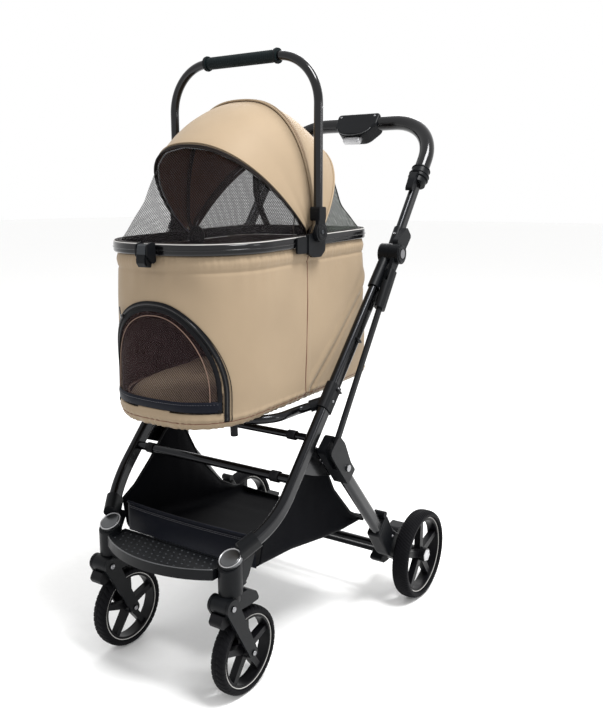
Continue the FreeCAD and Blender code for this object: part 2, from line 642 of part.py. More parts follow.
def rim(end, side, name, x, pin):
    """A rim ring, a hub with its bore, and five spokes."""
    body = DOC.addObject("PartDesign::Body", name)
    ring = wheel_sketch(body, f"{name}_ring")
    radius_circle(ring, f"Dims.{end}_seat")
    radius_circle(ring, f"Dims.{end}_ring")
    centred_pad(body, ring, "Dims.rim_width")
    spoke = wheel_sketch(body, f"{name}_spoke")
    inner = dim(f"{end}_hub") * 0.7
    outer = (dim(f"{end}_seat") + dim(f"{end}_ring")) / 2
    half = dim(f"{end}_spoke") / 2
    corners = [Vector(-half, inner, 0), Vector(half, inner, 0), Vector(half * 0.8, outer, 0),
               Vector(-half * 0.8, outer, 0)]
    for index in range(4):
        spoke.addGeometry(Part.LineSegment(corners[index], corners[(index + 1) % 4]), False)
    for index in range(4):
        spoke.addConstraint(Sketcher.Constraint("Coincident", index, 2, (index + 1) % 4, 1))
    spoke_pad = centred_pad(body, spoke, "Dims.spoke_width")
    pattern = body.newObject("PartDesign::PolarPattern", f"{name}_spokes")
    pattern.Originals = [spoke_pad]
    axis = next(item for item in body.Origin.OriginFeatures if item.Role == "X_Axis")
    pattern.Axis = (axis, [""])
    pattern.Angle = 360
    pattern.Occurrences = 5
    body.Tip = pattern
    hub = wheel_sketch(body, f"{name}_hub")
    radius_circle(hub, f"Dims.{end}_hub")
    centred_pad(body, hub, f"Dims.{end}_hub_width")
    bore = wheel_sketch(body, f"{name}_bore")
    radius_circle(bore, f"Dims.{pin} + Dims.running_gap")
    pocket = body.newObject("PartDesign::Pocket", f"{name}_bore_cut")
    pocket.Profile = bore
    pocket.Midplane = True
    pocket.Type = 1
    finish_piece(body, name, Placement(Vector(side * x, dim(f"{end}_axle_y"), dim(f"{end}_radius")), Rotation()))


# ---------------------------------------------------------------- carrier

def carrier_outline(half_front, half_side, half_rear, front, rear, corner_front, corner_rear, z, grow=0.0):
    """A plan outline with a slightly bowed front, long sides and rounded corners, at one height."""
    right = [(half_front, front + 9), (half_side, -150), (half_rear, rear)]
    radii = [corner_front + grow, 900, corner_rear + grow]
    spread = []
    for x, y in right:
        way = -1 if y < -200 else (1 if y > 0 else 0)
        spread.append((x + grow, y + way * grow))
    points = [Vector(0, front - grow, z)] + [Vector(x, y, z) for x, y in spread]
    points += [Vector(-x, y, z) for x, y in reversed(spread)]
    return rounded_wire(points, [500] + radii + list(reversed(radii)))


def floor_outline(z, grow=0.0):
    return carrier_outline(136, 147, 156, -355, 134, 108, 42, z, grow)


def rim_outline(z, grow=0.0):
    return carrier_outline(152, 153, 152, -341, 118, 115, 51, z, grow)


def tilted(shape, z, tilt="rim_tilt"):
    """Moves a shape drawn round height 0 to height z on a plane that rises to the rear."""
    centre = Vector(0, dim("rim_y"), 0)
    shape = shape.copy()
    shape.rotate(centre, X_AXIS, dim(tilt))
    shape.translate(Z_AXIS * z)
    return shape


def on_floor(shape):
    """Moves a shape drawn above height 0 onto the carrier's floor."""
    return tilted(shape, dim("floor_z"), "floor_tilt")


def shell_solid(grow, floor, top):
    """The carrier's outer form, shrunk or grown, from a floor height up to the rim's plane."""
    return Part.makeLoft([tilted(floor_outline(0, grow), floor, "floor_tilt"), tilted(rim_outline(0, grow), top)],
                         True, True)


def window_prism(grow):
    """An arched prism through the carrier's front wall."""
    half = dim("window_half") + grow
    low = dim("window_low") - grow
    high = dim("window_high") + grow
    shoulder = high - half * 1.25
    y = -380
    wire = Part.Wire([
        Part.LineSegment(Vector(-half, y, low), Vector(half, y, low)).toShape(),
        Part.LineSegment(Vector(half, y, low), Vector(half, y, shoulder)).toShape(),
        Part.Arc(Vector(half, y, shoulder), Vector(half * 0.73, y, shoulder + (high - shoulder) * 0.7),
                 Vector(0, y, high)).toShape(),
        Part.Arc(Vector(0, y, high), Vector(-half * 0.73, y, shoulder + (high - shoulder) * 0.7),
                 Vector(-half, y, shoulder)).toShape(),
        Part.LineSegment(Vector(-half, y, shoulder), Vector(-half, y, low)).toShape(),
    ])
    return Part.Face(wire).extrude(Y_AXIS * 140)


SHELL_TOP = dim("rim_z") - dim("rim_high") / 2


def carrier_wall():
    wall = dim("wall")
    outer = shell_solid(0, dim("floor_z"), SHELL_TOP)
    inner = shell_solid(-wall, dim("floor_z") + wall, SHELL_TOP + 2)
    return outer.cut(inner)


def carrier_rim():
    outer = Part.Face(rim_outline(0, dim("rim_out"))).extrude(Z_AXIS * dim("rim_high"))
    inner = Part.Face(rim_outline(0, -dim("rim_in"))).extrude(Z_AXIS * dim("rim_high"))
    ring = tilted(outer.cut(inner), dim("rim_z") - dim("rim_high") / 2)
    return softened(ring, 4, lambda edge: edge.Length > 20)


def base_board():
    """The stiff board in the carrier's floor and the feet under it."""
    board = Part.Face(floor_outline(dim("wall") + 0.2, -dim("wall") - 4)).extrude(Z_AXIS * 4)
    feet = [Part.makeCylinder(6.5, 26, Vector(side * 112, y, -26), Z_AXIS)
            for side in (1, -1) for y in (-276, 20)]
    return on_floor(Part.makeCompound([board] + feet))


def cushion():
    pad = Part.Face(floor_outline(dim("wall") + 5, -dim("wall") - 9)).extrude(Z_AXIS * 40)
    return on_floor(softened(pad, 14, lambda edge: edge.BoundBox.ZMax - edge.BoundBox.ZMin < 1))


def rim_brackets():
    """Saddles on the rim with the bail's pivot pins, the ribs' pins, and the front latch's cheeks."""
    bail_y = dim("bail_y")
    bail_z = dim("bail_z")
    rim_space = tilted(Part.Face(rim_outline(0, dim("rim_out"))).extrude(Z_AXIS * 60), dim("rim_z") - 40)
    saddle = side_plate([(bail_y - 30, 756), (bail_y - 30, 790), (bail_y + 24, 792), (bail_y + 24, 760),
                         (bail_y + 10, 749), (bail_y - 14, 749)], [4, 3, 3, 6, 8, 8], 154, 166)
    pin = cross_pin(163, 175, bail_y, bail_z, dim("pin_radius"))
    boss = cross_pin(160.5, 166, bail_y, bail_z, 11).cut(block((150, -200, bail_z), (170, 0, bail_z + 40)))
    saddle = saddle.fuse([pin, boss]).cut(rim_space)
    clip = side_plate([(bail_y - 62, 757), (bail_y - 62, 785), (bail_y - 31, 787), (bail_y - 31, 757)], 4,
                      154, 164).cut(rim_space)
    rib_y = dim("rib_y")
    rib_z = dim("rib_z")
    post = block((144.5, rib_y - 10, rib_z - 4.5), (150.5, rib_y + 10, rib_z + 4))
    rib_pin = cross_pin(129.5, 145.5, rib_y, rib_z, 2)
    hinge_post = post.fuse(rib_pin)
    cheek = side_plate([(-367, 760), (-367, 778), (-355, 782), (-334, 776), (-334, 758), (-355, 746)],
                       [3, 4, 6, 2, 2, 4], 11, 14).cut(rim_space)
    latch_pin = cross_pin(-13, 13, LATCH_Y, LATCH_Z, 2)
    cheeks = cheek.fuse([mirrored(cheek), latch_pin])
    sides = [solid for shape in (saddle, clip, hinge_post) for half in (shape, mirrored(shape))
             for solid in half.Solids]
    return Part.makeCompound(sides + cheeks.Solids)


LATCH_Y = -358
LATCH_Z = 771


def latch_lever():
    points = [(-353.5, 779), (-363, 779), (-366, 770), (-368, 752), (-363, 741), (-356, 741), (-353.5, 750)]
    lever = side_plate(points, [2, 5, 8, 5, 4, 2, 2], -10.5, 10.5)
    return lever.cut(cross_pin(-20, 20, LATCH_Y, LATCH_Z, 2 + dim("running_gap")))


# ---------------------------------------------------------------- bail handle

def bail_tube():
    x = dim("bail_x")
    y = dim("bail_y")
    low = Vector(x, y, dim("bail_z") + 27)
    top = dim("bail_top")
    points = [low, Vector(x, y, top), Vector(-x, y, top), Vector(-x, y, low.z)]
    bend = dim("bail_bend")
    size = 2 * dim("bail_radius")
    return swept_tube(points, [0, bend, bend, 0], Y_AXIS, size, size, dim("bail_wall"))


def bail_grip():
    half = dim("grip_half")
    y = dim("bail_y")
    z = dim("bail_top")
    sleeve = cross_pin(-half, half, y, z, dim("grip_radius"))
    flanges = [cross_pin(low, low + 6, y, z, 13) for low in (-half, half - 6)]
    return sleeve.fuse(flanges).cut(cross_pin(-half - 9, half + 9, y, z, dim("bail_radius")))


def bail_pivot():
    """The disc on the pivot pin and the bridge over the rim to the bail's leg."""
    y = dim("bail_y")
    z = dim("bail_z")
    disc = cross_pin(167, 174, y, z, 17.5)
    upright = side_plate([(y - 11, z), (y + 11, z), (y + 11, z + 38), (y - 11, z + 38)], 3, 167, 174)
    bridge = side_plate([(y - 10.5, z + 20), (y + 10.5, z + 20), (y + 10.5, z + 44), (y - 10.5, z + 44)], 4,
                        155.5, 175.5)
    leg_room = Part.makeCylinder(dim("bail_radius"), 60, Vector(dim("bail_x"), y, z + 27), Z_AXIS)
    pin_room = cross_pin(160, 180, y, z, dim("pin_radius") + dim("running_gap"))
    return disc.fuse([upright, bridge]).cut([leg_room, pin_room])


# ---------------------------------------------------------------- canopy

def arch_point(half_width, reach, power, degrees, angle):
    """A point on a superellipse arch that stands in a plane through the ribs' common pivot axis."""
    c = math.cos(angle)
    s = math.sin(angle)
    out = reach * abs(s) ** (2 / power)
    flare = (dim("foot_reach") - out) / (dim("foot_reach") - dim("foot_straight"))
    drawn_in = dim("foot_inset") * min(1.0, max(0.0, flare))
    x = (half_width - drawn_in) * math.copysign(abs(c) ** (2 / power), c)
    lean = math.radians(degrees)
    return Vector(x, dim("rib_y") - out * math.sin(lean), dim("rib_z") + out * math.cos(lean))


def arch_curve(half_width, reach, power, degrees, start=0.0, count=25):
    points = []
    for index in range(count):
        angle = start + (math.pi - 2 * start) * index / (count - 1)
        points.append(arch_point(half_width, reach, power, degrees, angle))
    curve = Part.BSplineCurve()
    curve.interpolate(points)
    return curve.toShape()


# each rib: half width, reach, power of the curve, lean forward from upright in degrees
RIB_FRONT = (144.5, 233, 2.3, 46.2)
RIB_MID = (148.0, 247, 2.5, 3.6)
RIB_REAR = (151.5, 242, 2.25, -41.2)
RIM_FRONT = (146.0, 247, 3.6, 88.6)
RIM_REAR = (146.0, 195, 3.6, -84.4)
MESH_START = 0.25
RIB_ANGLES = (5, 12, 22, 36, 54, 72, 90)


def rib(half_width, reach, power, degrees):
    """A thin rod bent to an arch, with an eye at each end for the pivot pin."""
    radius = dim("rib_radius")
    eye_half = radius + dim("eye_side")
    eye_x = half_width - dim("foot_inset")
    up = Rotation(X_AXIS, degrees).multVec(Z_AXIS)
    foot = Vector(eye_x, dim("rib_y"), dim("rib_z"))
    heel = foot + up * dim("foot_straight")
    side_points = [foot, heel] + [arch_point(half_width, reach, power, degrees, math.radians(angle))
                                  for angle in RIB_ANGLES]
    points = side_points + [Vector(-point.x, point.y, point.z) for point in reversed(side_points[:-1])]
    side_bends = [0, 12] + [dim("rib_bend")] * (len(RIB_ANGLES) - 1)
    bends = side_bends + [dim("rib_bend")] + side_bends[::-1]
    rod = swept_tube(points, bends, X_AXIS, 2 * radius, 2 * radius)
    eyes = [cross_pin(side * eye_x - eye_half, side * eye_x + eye_half, dim("rib_y"), dim("rib_z"),
                      dim("eye_radius"))
            for side in (1, -1)]
    hole = cross_pin(-200, 200, dim("rib_y"), dim("rib_z"), 2 + dim("running_gap"))
    return rod.fuse(eyes).cut(hole)


def cloth_band(arches, offset):
    """A thin curved sheet through a row of arches, outside the ribs."""
    sections = []
    for half_width, reach, power, degrees in arches:
        inner = arch_curve(half_width + offset, reach + offset, power, degrees, MESH_START)
        outer = arch_curve(half_width + offset + dim("cloth"), reach + offset + dim("cloth"), power, degrees,
                           MESH_START)
        ends = [Part.LineSegment(inner.valueAt(inner.FirstParameter), outer.valueAt(outer.FirstParameter)),
                Part.LineSegment(inner.valueAt(inner.LastParameter), outer.valueAt(outer.LastParameter))]
        sections.append(Part.Wire(Part.sortEdges([inner, outer] + [end.toShape() for end in ends])[0]))
    return Part.makeLoft(sections, True, True)


def between(a, b, share, sag=1.0):
    """An arch part of the way between two, drawn in where the cloth hangs hollow."""
    mixed = [a[i] + (b[i] - a[i]) * share for i in range(4)]
    mixed[1] *= sag
    return tuple(mixed)


# ---------------------------------------------------------------- build every piece

add_sides("main_tube", main_tube())
add_pair("front_housings", front_housing())
add_pair("caster_caps", cap_solid())
add_piece("footplate", footplate())
add_piece("crossbars", crossbars())
add_piece("support_tube", support_tube())
add_pair("support_brackets", support_bracket())
add_pair("hinge_housings", hinge_housing())
add_pair("leg_brackets", leg_bracket())
add_piece("basket", basket())
add_pair("frame_screws", *frame_screw_set())

add_pair("handle_tubes", handle_tube())
add_pair("handle_knuckles", handle_knuckle())
add_piece("push_bar", push_bar())
add_pair("handle_collars", handle_collar())
add_piece("release_housing", release_housing())
add_pair("height_levers", height_lever())
add_piece("fold_button", fold_button())

add_sides("rear_leg", rear_leg())
add_pair("leg_collars", leg_collar())
add_pair("rear_housings", rear_housing())
add_piece("rear_crossbar", cross_pin(-187, 187, 135, 122, dim("rod_radius")))
add_pair("rear_axles", cross_pin(188, 258, dim("rear_axle_y"), dim("rear_radius"), dim("axle_radius")))
PEDAL, BRAKE_ROD = brake_pedal()
add_piece("brake_pedal", Part.makeCompound([PEDAL, mirrored(PEDAL), BRAKE_ROD]))
add_pair("fold_struts", fold_strut())

add_sides("caster_yoke", caster_yoke())
add_sides("bumper", bumper())
add_sides("fork", fork())
add_sides("swivel_lock", swivel_lock())
for side_name, side_sign in (("right", 1), ("left", -1)):
    tyre("front", side_sign, f"front_tyre_{side_name}", dim("caster_x"))
    rim("front", side_sign, f"front_rim_{side_name}", dim("caster_x"), "pin_radius")
    tyre("rear", side_sign, f"rear_tyre_{side_name}", dim("rear_x"))
    rim("rear", side_sign, f"rear_rim_{side_name}", dim("rear_x"), "axle_radius")

WALL = carrier_wall()
add_piece("carrier_shell", WALL.cut(window_prism(0)))
add_piece("window_door", WALL.common(window_prism(-dim("window_gap"))))
add_piece("carrier_rim", carrier_rim())
add_piece("base_board", base_board())
add_piece("cushion", cushion())
add_piece("rim_brackets", rim_brackets())
add_piece("latch_lever", latch_lever())
add_piece("bail_tube", bail_tube())
add_piece("bail_grip", bail_grip())
add_pair("bail_pivots", bail_pivot())
add_piece("rib_front", rib(*RIB_FRONT))
add_piece("rib_mid", rib(*RIB_MID))
add_piece("rib_rear", rib(*RIB_REAR))
CLOTH_OFFSET = dim("rib_radius") + 0.8
add_piece("hood_front", cloth_band([RIB_FRONT, between(RIB_FRONT, RIB_MID, 0.5), RIB_MID], CLOTH_OFFSET))
add_piece("hood_rear", cloth_band([between(RIB_MID, RIB_REAR, 0.04), between(RIB_MID, RIB_REAR, 0.5), RIB_REAR],
                                  CLOTH_OFFSET))
add_piece("front_mesh", cloth_band([between(RIB_FRONT, RIM_FRONT, 0.06), between(RIB_FRONT, RIM_FRONT, 0.5, 0.93),
                                    RIM_FRONT], CLOTH_OFFSET))
add_piece("rear_mesh", cloth_band([between(RIB_REAR, RIM_REAR, 0.05), between(RIB_REAR, RIM_REAR, 0.5, 0.82),
                                   RIM_REAR], CLOTH_OFFSET))

# ---------------------------------------------------------------- check and write

DOC.recompute()
for item in DOC.Objects:
    if "Invalid" in item.State or "Error" in item.State:
        raise RuntimeError(f"{item.Label} did not build: {item.State}")
os.makedirs("parts", exist_ok=True)
for piece in PIECES:
    shape = piece.Shape
    if shape.isNull() or not shape.isValid() or not shape.Solids:
        raise RuntimeError(f"{piece.Label} has no valid solid")
    shape.exportStep(f"parts/{piece.Label}.step")
    box = shape.BoundBox
    print(f"{piece.Label:20s} solids {len(shape.Solids):2d} volume {shape.Volume / 1000:9.1f} cm3",
          [round(v, 1) for v in (box.XMin, box.XMax, box.YMin, box.YMax, box.ZMin, box.ZMax)])
print(len(PIECES), "pieces")
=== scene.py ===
"""A four-wheeled pet stroller: the cloth, mesh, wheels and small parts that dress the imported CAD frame."""
import json
import math

import bmesh
import bpy
import numpy as np
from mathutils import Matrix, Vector, noise


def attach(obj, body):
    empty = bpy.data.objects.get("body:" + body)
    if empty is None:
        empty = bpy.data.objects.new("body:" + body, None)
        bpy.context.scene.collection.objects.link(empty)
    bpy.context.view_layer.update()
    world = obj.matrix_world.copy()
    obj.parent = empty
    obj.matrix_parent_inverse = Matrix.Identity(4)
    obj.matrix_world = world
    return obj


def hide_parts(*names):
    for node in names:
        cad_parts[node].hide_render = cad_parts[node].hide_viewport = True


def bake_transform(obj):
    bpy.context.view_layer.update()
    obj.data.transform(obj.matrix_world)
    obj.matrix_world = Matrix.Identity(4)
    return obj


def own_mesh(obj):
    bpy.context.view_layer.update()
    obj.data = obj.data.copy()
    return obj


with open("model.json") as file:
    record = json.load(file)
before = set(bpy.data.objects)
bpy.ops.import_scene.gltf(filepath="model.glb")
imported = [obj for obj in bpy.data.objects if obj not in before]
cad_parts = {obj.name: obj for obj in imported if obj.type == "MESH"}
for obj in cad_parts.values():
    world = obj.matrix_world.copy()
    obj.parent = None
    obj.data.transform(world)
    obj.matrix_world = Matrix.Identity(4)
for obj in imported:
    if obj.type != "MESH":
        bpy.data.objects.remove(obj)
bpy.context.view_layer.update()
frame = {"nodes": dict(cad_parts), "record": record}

SHIFT = 0.0165  # the drawing datum lies this far behind the stroller's own origin, in metres
SIDES = ((1, "right"), (-1, "left"))

# places in millimetres from the drawing datum
SEAM_Y = -110
CASTER_X, FRONT_AXLE_Y, FRONT_RADIUS = 143, -296, 77.8
REAR_WHEEL_X, REAR_AXLE_Y, REAR_RADIUS = 239.5, 196, 95
CAP_Y, CAP_Z, CAP_TILT = -330, 261, 30
BAIL_Y, BAIL_FOOT_Z, BAIL_GRIP_Z = -97, 793, 1097
FOLD_Y, FOLD_Z = 118, 745


def at(x, y, z):
    """A point given in millimetres from the drawing datum, in metres in the stroller's frame."""
    return Vector((x / 1000, y / 1000 + SHIFT, z / 1000))


# ---------------------------------------------------------------- camera, light and floor

CAMERA_PLACE = (0.9465, -1.295, 0.8482)
CAMERA_YAW = 33.9
CAMERA_PITCH = 10.94
CAMERA_LENS = 40.82


def add_camera():
    data = bpy.data.cameras.new("camera")
    data.lens = CAMERA_LENS
    camera = bpy.data.objects.new("camera", data)
    bpy.context.collection.objects.link(camera)
    camera.location = CAMERA_PLACE
    camera.rotation_euler = (math.radians(90 - CAMERA_PITCH), 0, math.radians(CAMERA_YAW))
    bpy.context.scene.camera = camera


def add_light(name, place, target, size, power, colour=(1, 1, 1)):
    data = bpy.data.lights.new(name, "AREA")
    data.size = size
    data.energy = power
    data.color = colour
    light = bpy.data.objects.new(name, data)
    bpy.context.collection.objects.link(light)
    light.location = place
    light.rotation_euler = (Vector(target) - Vector(place)).to_track_quat("-Z", "Y").to_euler()


def add_studio():
    add_light("key", (1.6, -0.15, 3.5), (0, 0, 0.6), 1.2, 135)
    add_light("rim", (-1.2, 2.4, 2.2), (0, 0, 0.7), 1.4, 20)
    add_light("side", (2.8, 0.6, 1.2), (0, 0, 0.6), 0.5, 9)
    world = bpy.context.scene.world or bpy.data.worlds.new("world")
    bpy.context.scene.world = world
    world.use_nodes = True
    background = world.node_tree.nodes["Background"]
    background.inputs["Color"].default_value = (1, 1, 1, 1)
    background.inputs["Strength"].default_value = 1.0
    bpy.context.scene.view_settings.view_transform = "Standard"
    floor_mat, _, shader = material("studio_floor", (0.965, 0.965, 0.96), 0.9, grain=0.01)
    shader.inputs["Specular IOR Level"].default_value = 0.1
    size = 30
    mesh = bpy.data.meshes.new("studio_floor")
    corners = [(-size, -size, 0), (size, -size, 0), (size, size, 0), (-size, size, 0)]
    mesh.from_pydata(corners, [], [(0, 1, 2, 3)])
    mesh.materials.append(floor_mat)
    floor = bpy.data.objects.new("studio_floor", mesh)
    bpy.context.collection.objects.link(floor)
    floor.visible_diffuse = False  # keeps the pale floor from lighting the stroller from below


# ---------------------------------------------------------------- materials

def node(tree, kind, **inputs):
    made = tree.nodes.new(kind)
    for name, value in inputs.items():
        made.inputs[name.replace("_", " ")].default_value = value
    return made


def material(name, colour, roughness, metallic=0.0, grain=0.08, grain_scale=60.0):
    """A principled material whose colour varies a little over the surface."""
    mat = bpy.data.materials.new(name)
    mat.use_nodes = True
    tree = mat.node_tree
    shader = tree.nodes["Principled BSDF"]
    shader.inputs["Roughness"].default_value = roughness
    shader.inputs["Metallic"].default_value = metallic
    place = tree.nodes.new("ShaderNodeTexCoord")
    cloud = node(tree, "ShaderNodeTexNoise", Scale=grain_scale, Detail=3.0)
    ramp = tree.nodes.new("ShaderNodeValToRGB")
    low = [max(0.0, c * (1 - grain)) for c in colour]
    high = [min(1.0, c * (1 + grain)) for c in colour]
    ramp.color_ramp.elements[0].position = 0.3
    ramp.color_ramp.elements[0].color = (*low, 1)
    ramp.color_ramp.elements[1].position = 0.7
    ramp.color_ramp.elements[1].color = (*high, 1)
    tree.links.new(place.outputs["Object"], cloud.inputs["Vector"])
    tree.links.new(cloud.outputs["Fac"], ramp.inputs["Fac"])
    tree.links.new(ramp.outputs["Color"], shader.inputs["Base Color"])
    return mat, tree, shader


def place_output(tree):
    return next(n for n in tree.nodes if n.type == "TEX_COORD").outputs["Object"]


def add_bump(tree, shader, height, strength, distance):
    bump = node(tree, "ShaderNodeBump", Strength=strength, Distance=distance)
    tree.links.new(height, bump.inputs["Height"])
    tree.links.new(bump.outputs["Normal"], shader.inputs["Normal"])


def vary_roughness(tree, shader, low, high, scale):
    cloud = node(tree, "ShaderNodeTexNoise", Scale=scale, Detail=4.0)
    spread = node(tree, "ShaderNodeMapRange")
    spread.inputs["To Min"].default_value = low
    spread.inputs["To Max"].default_value = high
    tree.links.new(place_output(tree), cloud.inputs["Vector"])
    tree.links.new(cloud.outputs["Fac"], spread.inputs["Value"])
    tree.links.new(spread.outputs["Result"], shader.inputs["Roughness"])


def weave_height(tree, pitch):
    """Threads over and under along two ways across the cloth; pitch is the thread spacing in metres."""
    scale = 0.314 / pitch
    waves = []
    for way in ("DIAGONAL", "Z"):
        wave = node(tree, "ShaderNodeTexWave", Scale=scale / (1.7 if way == "DIAGONAL" else 1.0))
        wave.bands_direction = way
        tree.links.new(place_output(tree), wave.inputs["Vector"])
        waves.append(wave)
    mix = tree.nodes.new("ShaderNodeMath")
    mix.operation = "MULTIPLY"
    tree.links.new(waves[0].outputs["Fac"], mix.inputs[0])
    tree.links.new(waves[1].outputs["Fac"], mix.inputs[1])
    return mix.outputs["Value"]


def moulded(name, colour, roughness, texture=0.00008, gloss=0.12):
    """Fine-textured moulded plastic."""
    mat, tree, shader = material(name, colour, roughness, grain=0.12, grain_scale=35)
    speckle = node(tree, "ShaderNodeTexNoise", Scale=1400.0, Detail=2.0)
    tree.links.new(place_output(tree), speckle.inputs["Vector"])
    add_bump(tree, shader, speckle.outputs["Fac"], 0.5, texture)
    vary_roughness(tree, shader, roughness - 0.06, roughness + 0.08, 90)
    shader.inputs["Specular IOR Level"].default_value = gloss
    return mat


def anodised(name, colour, roughness, metallic=0.85):
    """Drawn metal tube with faint lines along it and handling marks in its gloss."""
    mat, tree, shader = material(name, colour, roughness, metallic, grain=0.15, grain_scale=25)
    vary_roughness(tree, shader, roughness - 0.05, roughness + 0.09, 130)
    shader.inputs["Coat Weight"].default_value = 0.2
    shader.inputs["Coat Roughness"].default_value = 0.08
    return mat


def woven(name, colour, roughness, pitch=0.0007, depth=0.00012, sheen=0.1, grain=0.05, gloss=0.1):
    """Coated or plain woven cloth with threads, slow colour drift and a soft sheen."""
    mat, tree, shader = material(name, colour, roughness, grain=grain, grain_scale=9)
    slack = node(tree, "ShaderNodeTexNoise", Scale=18.0, Detail=5.0)
    tree.links.new(place_output(tree), slack.inputs["Vector"])
    total = tree.nodes.new("ShaderNodeMath")
    total.operation = "MULTIPLY_ADD"
    tree.links.new(slack.outputs["Fac"], total.inputs[0])
    total.inputs[1].default_value = 5.0
    tree.links.new(weave_height(tree, pitch), total.inputs[2])
    add_bump(tree, shader, total.outputs["Value"], 0.6, depth)
    shader.inputs["Sheen Weight"].default_value = sheen
    shader.inputs["Sheen Roughness"].default_value = 0.4
    shader.inputs["Specular IOR Level"].default_value = gloss
    return mat


def net(name, colour, cover, pitch=0.0016):
    """Knitted mesh cloth: threads in a fine grid with open holes between them."""
    mat, tree, shader = material(name, colour, 0.75, grain=0.2, grain_scale=14)
    height = weave_height(tree, pitch)
    spread = node(tree, "ShaderNodeMapRange")
    spread.inputs["From Min"].default_value = 0.0
    spread.inputs["From Max"].default_value = 0.75
    spread.inputs["To Min"].default_value = min(1.0, cover + 0.16)
    spread.inputs["To Max"].default_value = max(0.0, cover - 0.20)
    tree.links.new(height, spread.inputs["Value"])
    tree.links.new(spread.outputs["Result"], shader.inputs["Alpha"])
    shader.inputs["Specular IOR Level"].default_value = 0.15
    return mat


MATS = {
    "tube": anodised("tube_black", (0.0075, 0.008, 0.0095), 0.22),
    "gloss": anodised("rim_black", (0.005, 0.005, 0.006), 0.13, 0.5),
    "plastic": moulded("plastic_black", (0.004, 0.0045, 0.0055), 0.38),
    "plastic_grey": moulded("plastic_grey", (0.035, 0.038, 0.042), 0.36),
    "cap": anodised("cap_disc", (0.1, 0.103, 0.107), 0.32, 0.9),
    "steel": anodised("zinc_steel", (0.26, 0.26, 0.27), 0.3, 1.0),
    "silver": anodised("silver_trim", (0.42, 0.42, 0.43), 0.3, 0.8),
    "white_line": moulded("pale_trim", (0.5, 0.49, 0.47), 0.4),
    "grip": moulded("grip_sleeve", (0.004, 0.008, 0.009), 0.55, 0.0003),
    "rubber": moulded("bumper_rubber", (0.004, 0.004, 0.005), 0.5),
    "tyre": moulded("tyre_rubber", (0.004, 0.004, 0.005), 0.6, 0.0002, gloss=0.06),
    "rim": moulded("wheel_plastic", (0.004, 0.004, 0.005), 0.34),
    "beige": woven("beige_canvas", (0.325, 0.247, 0.165), 0.5, sheen=0.06),
    "lining": woven("brown_lining", (0.17, 0.078, 0.052), 0.6),
    "lining_dark": woven("dark_lining", (0.05, 0.028, 0.022), 0.7),
    "binding": woven("dark_binding", (0.012, 0.009, 0.008), 0.6, pitch=0.0012, depth=0.0002, sheen=0.02),
    "tape": woven("black_tape", (0.004, 0.004, 0.005), 0.5, pitch=0.001, depth=0.0002, sheen=0.01),
    "navy": woven("navy_cloth", (0.004, 0.005, 0.0095), 0.5, sheen=0.01),
    "black_cloth": woven("black_cloth", (0.0028, 0.003, 0.004), 0.6, sheen=0.0, gloss=0.02),
    "thread": woven("pale_thread", (0.12, 0.12, 0.13), 0.6, pitch=0.0006),
    "piping": woven("rose_piping", (0.2, 0.13, 0.1), 0.55, pitch=0.0008),
    "cushion": woven("cushion_cloth", (0.46, 0.35, 0.25), 0.75, pitch=0.0012, depth=0.0003),
    "net_dark": net("net_black", (0.014, 0.012, 0.013), 0.2),
    "net_rear": net("net_grey", (0.07, 0.078, 0.07), 0.36),
    "net_door": net("net_brown", (0.026, 0.015, 0.016), 0.36),
}

SLOT_LOOKS = {
    "frame_metal": "tube", "black_plastic": "plastic", "cap_metal": "cap", "steel": "steel",
    "silver_plastic": "silver", "grip_rubber": "grip", "bumper_rubber": "rubber", "tyre_rubber": "tyre",
    "rim_plastic": "rim", "beige_fabric": "beige", "mesh_fabric": "net_dark", "basket_fabric": "black_cloth",
    "cushion_fabric": "cushion",
}


def dress_cad():
    """Gives every CAD node the finish of its material slot."""
    slots = {part["node"]: part["material_slot"] for part in frame["record"]["subparts"]}
    special = {"carrier_rim": "gloss", "bail_tube": "gloss", "push_bar": "gloss"}
    for name, slot_name in slots.items():
        obj = frame["nodes"][name]
        look = MATS[special.get(name, SLOT_LOOKS[slot_name])]
        if not obj.material_slots:
            obj.data.materials.append(look)
        for slot in obj.material_slots:
            slot.material = look


# ---------------------------------------------------------------- mesh helpers

def piece(name, verts, faces, look, body, stands_for=(), slot=None, smooth=True):
    """A mesh piece that rides on a body; body None leaves it on no body."""
    mesh = bpy.data.meshes.new(name)
    mesh.from_pydata([tuple(v) for v in verts], [], [tuple(int(i) for i in f) for f in faces])
    looks = look if isinstance(look, (list, tuple)) else [look]
    for each in looks:
        mesh.materials.append(MATS[each])
    if smooth:
        mesh.polygons.foreach_set("use_smooth", [True] * len(mesh.polygons))
    mesh.update()
    obj = bpy.data.objects.new(name, mesh)
    bpy.context.collection.objects.link(obj)
    if stands_for:
        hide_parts(*stands_for)
    if body:
        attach(obj, body)
    return obj


def grid_faces(rows, columns, closed_columns=False, closed_rows=False, start=0):
    faces = []
    for r in range(rows if closed_rows else rows - 1):
        for c in range(columns if closed_columns else columns - 1):
            r2 = (r + 1) % rows
            c2 = (c + 1) % columns
            faces.append((start + r * columns + c, start + r * columns + c2,
                          start + r2 * columns + c2, start + r2 * columns + c))
    return faces


def end_caps(rings, size):
    """The two faces that close a stack of rings."""
    return [tuple(reversed(range(size))), tuple(range((rings - 1) * size, rings * size))]


def thickened(obj, thickness, inner_material=0, offset=-1.0):
    """Gives a sheet its cloth thickness."""
    mod = obj.modifiers.new("cloth", "SOLIDIFY")
    mod.thickness = thickness
    mod.offset = offset
    mod.material_offset = inner_material
    mod.use_even_offset = False
    return obj


def section_ring(radius, count=10, flat=1.0):
    return [(radius * math.cos(2 * math.pi * k / count), radius * flat * math.sin(2 * math.pi * k / count))
            for k in range(count)]


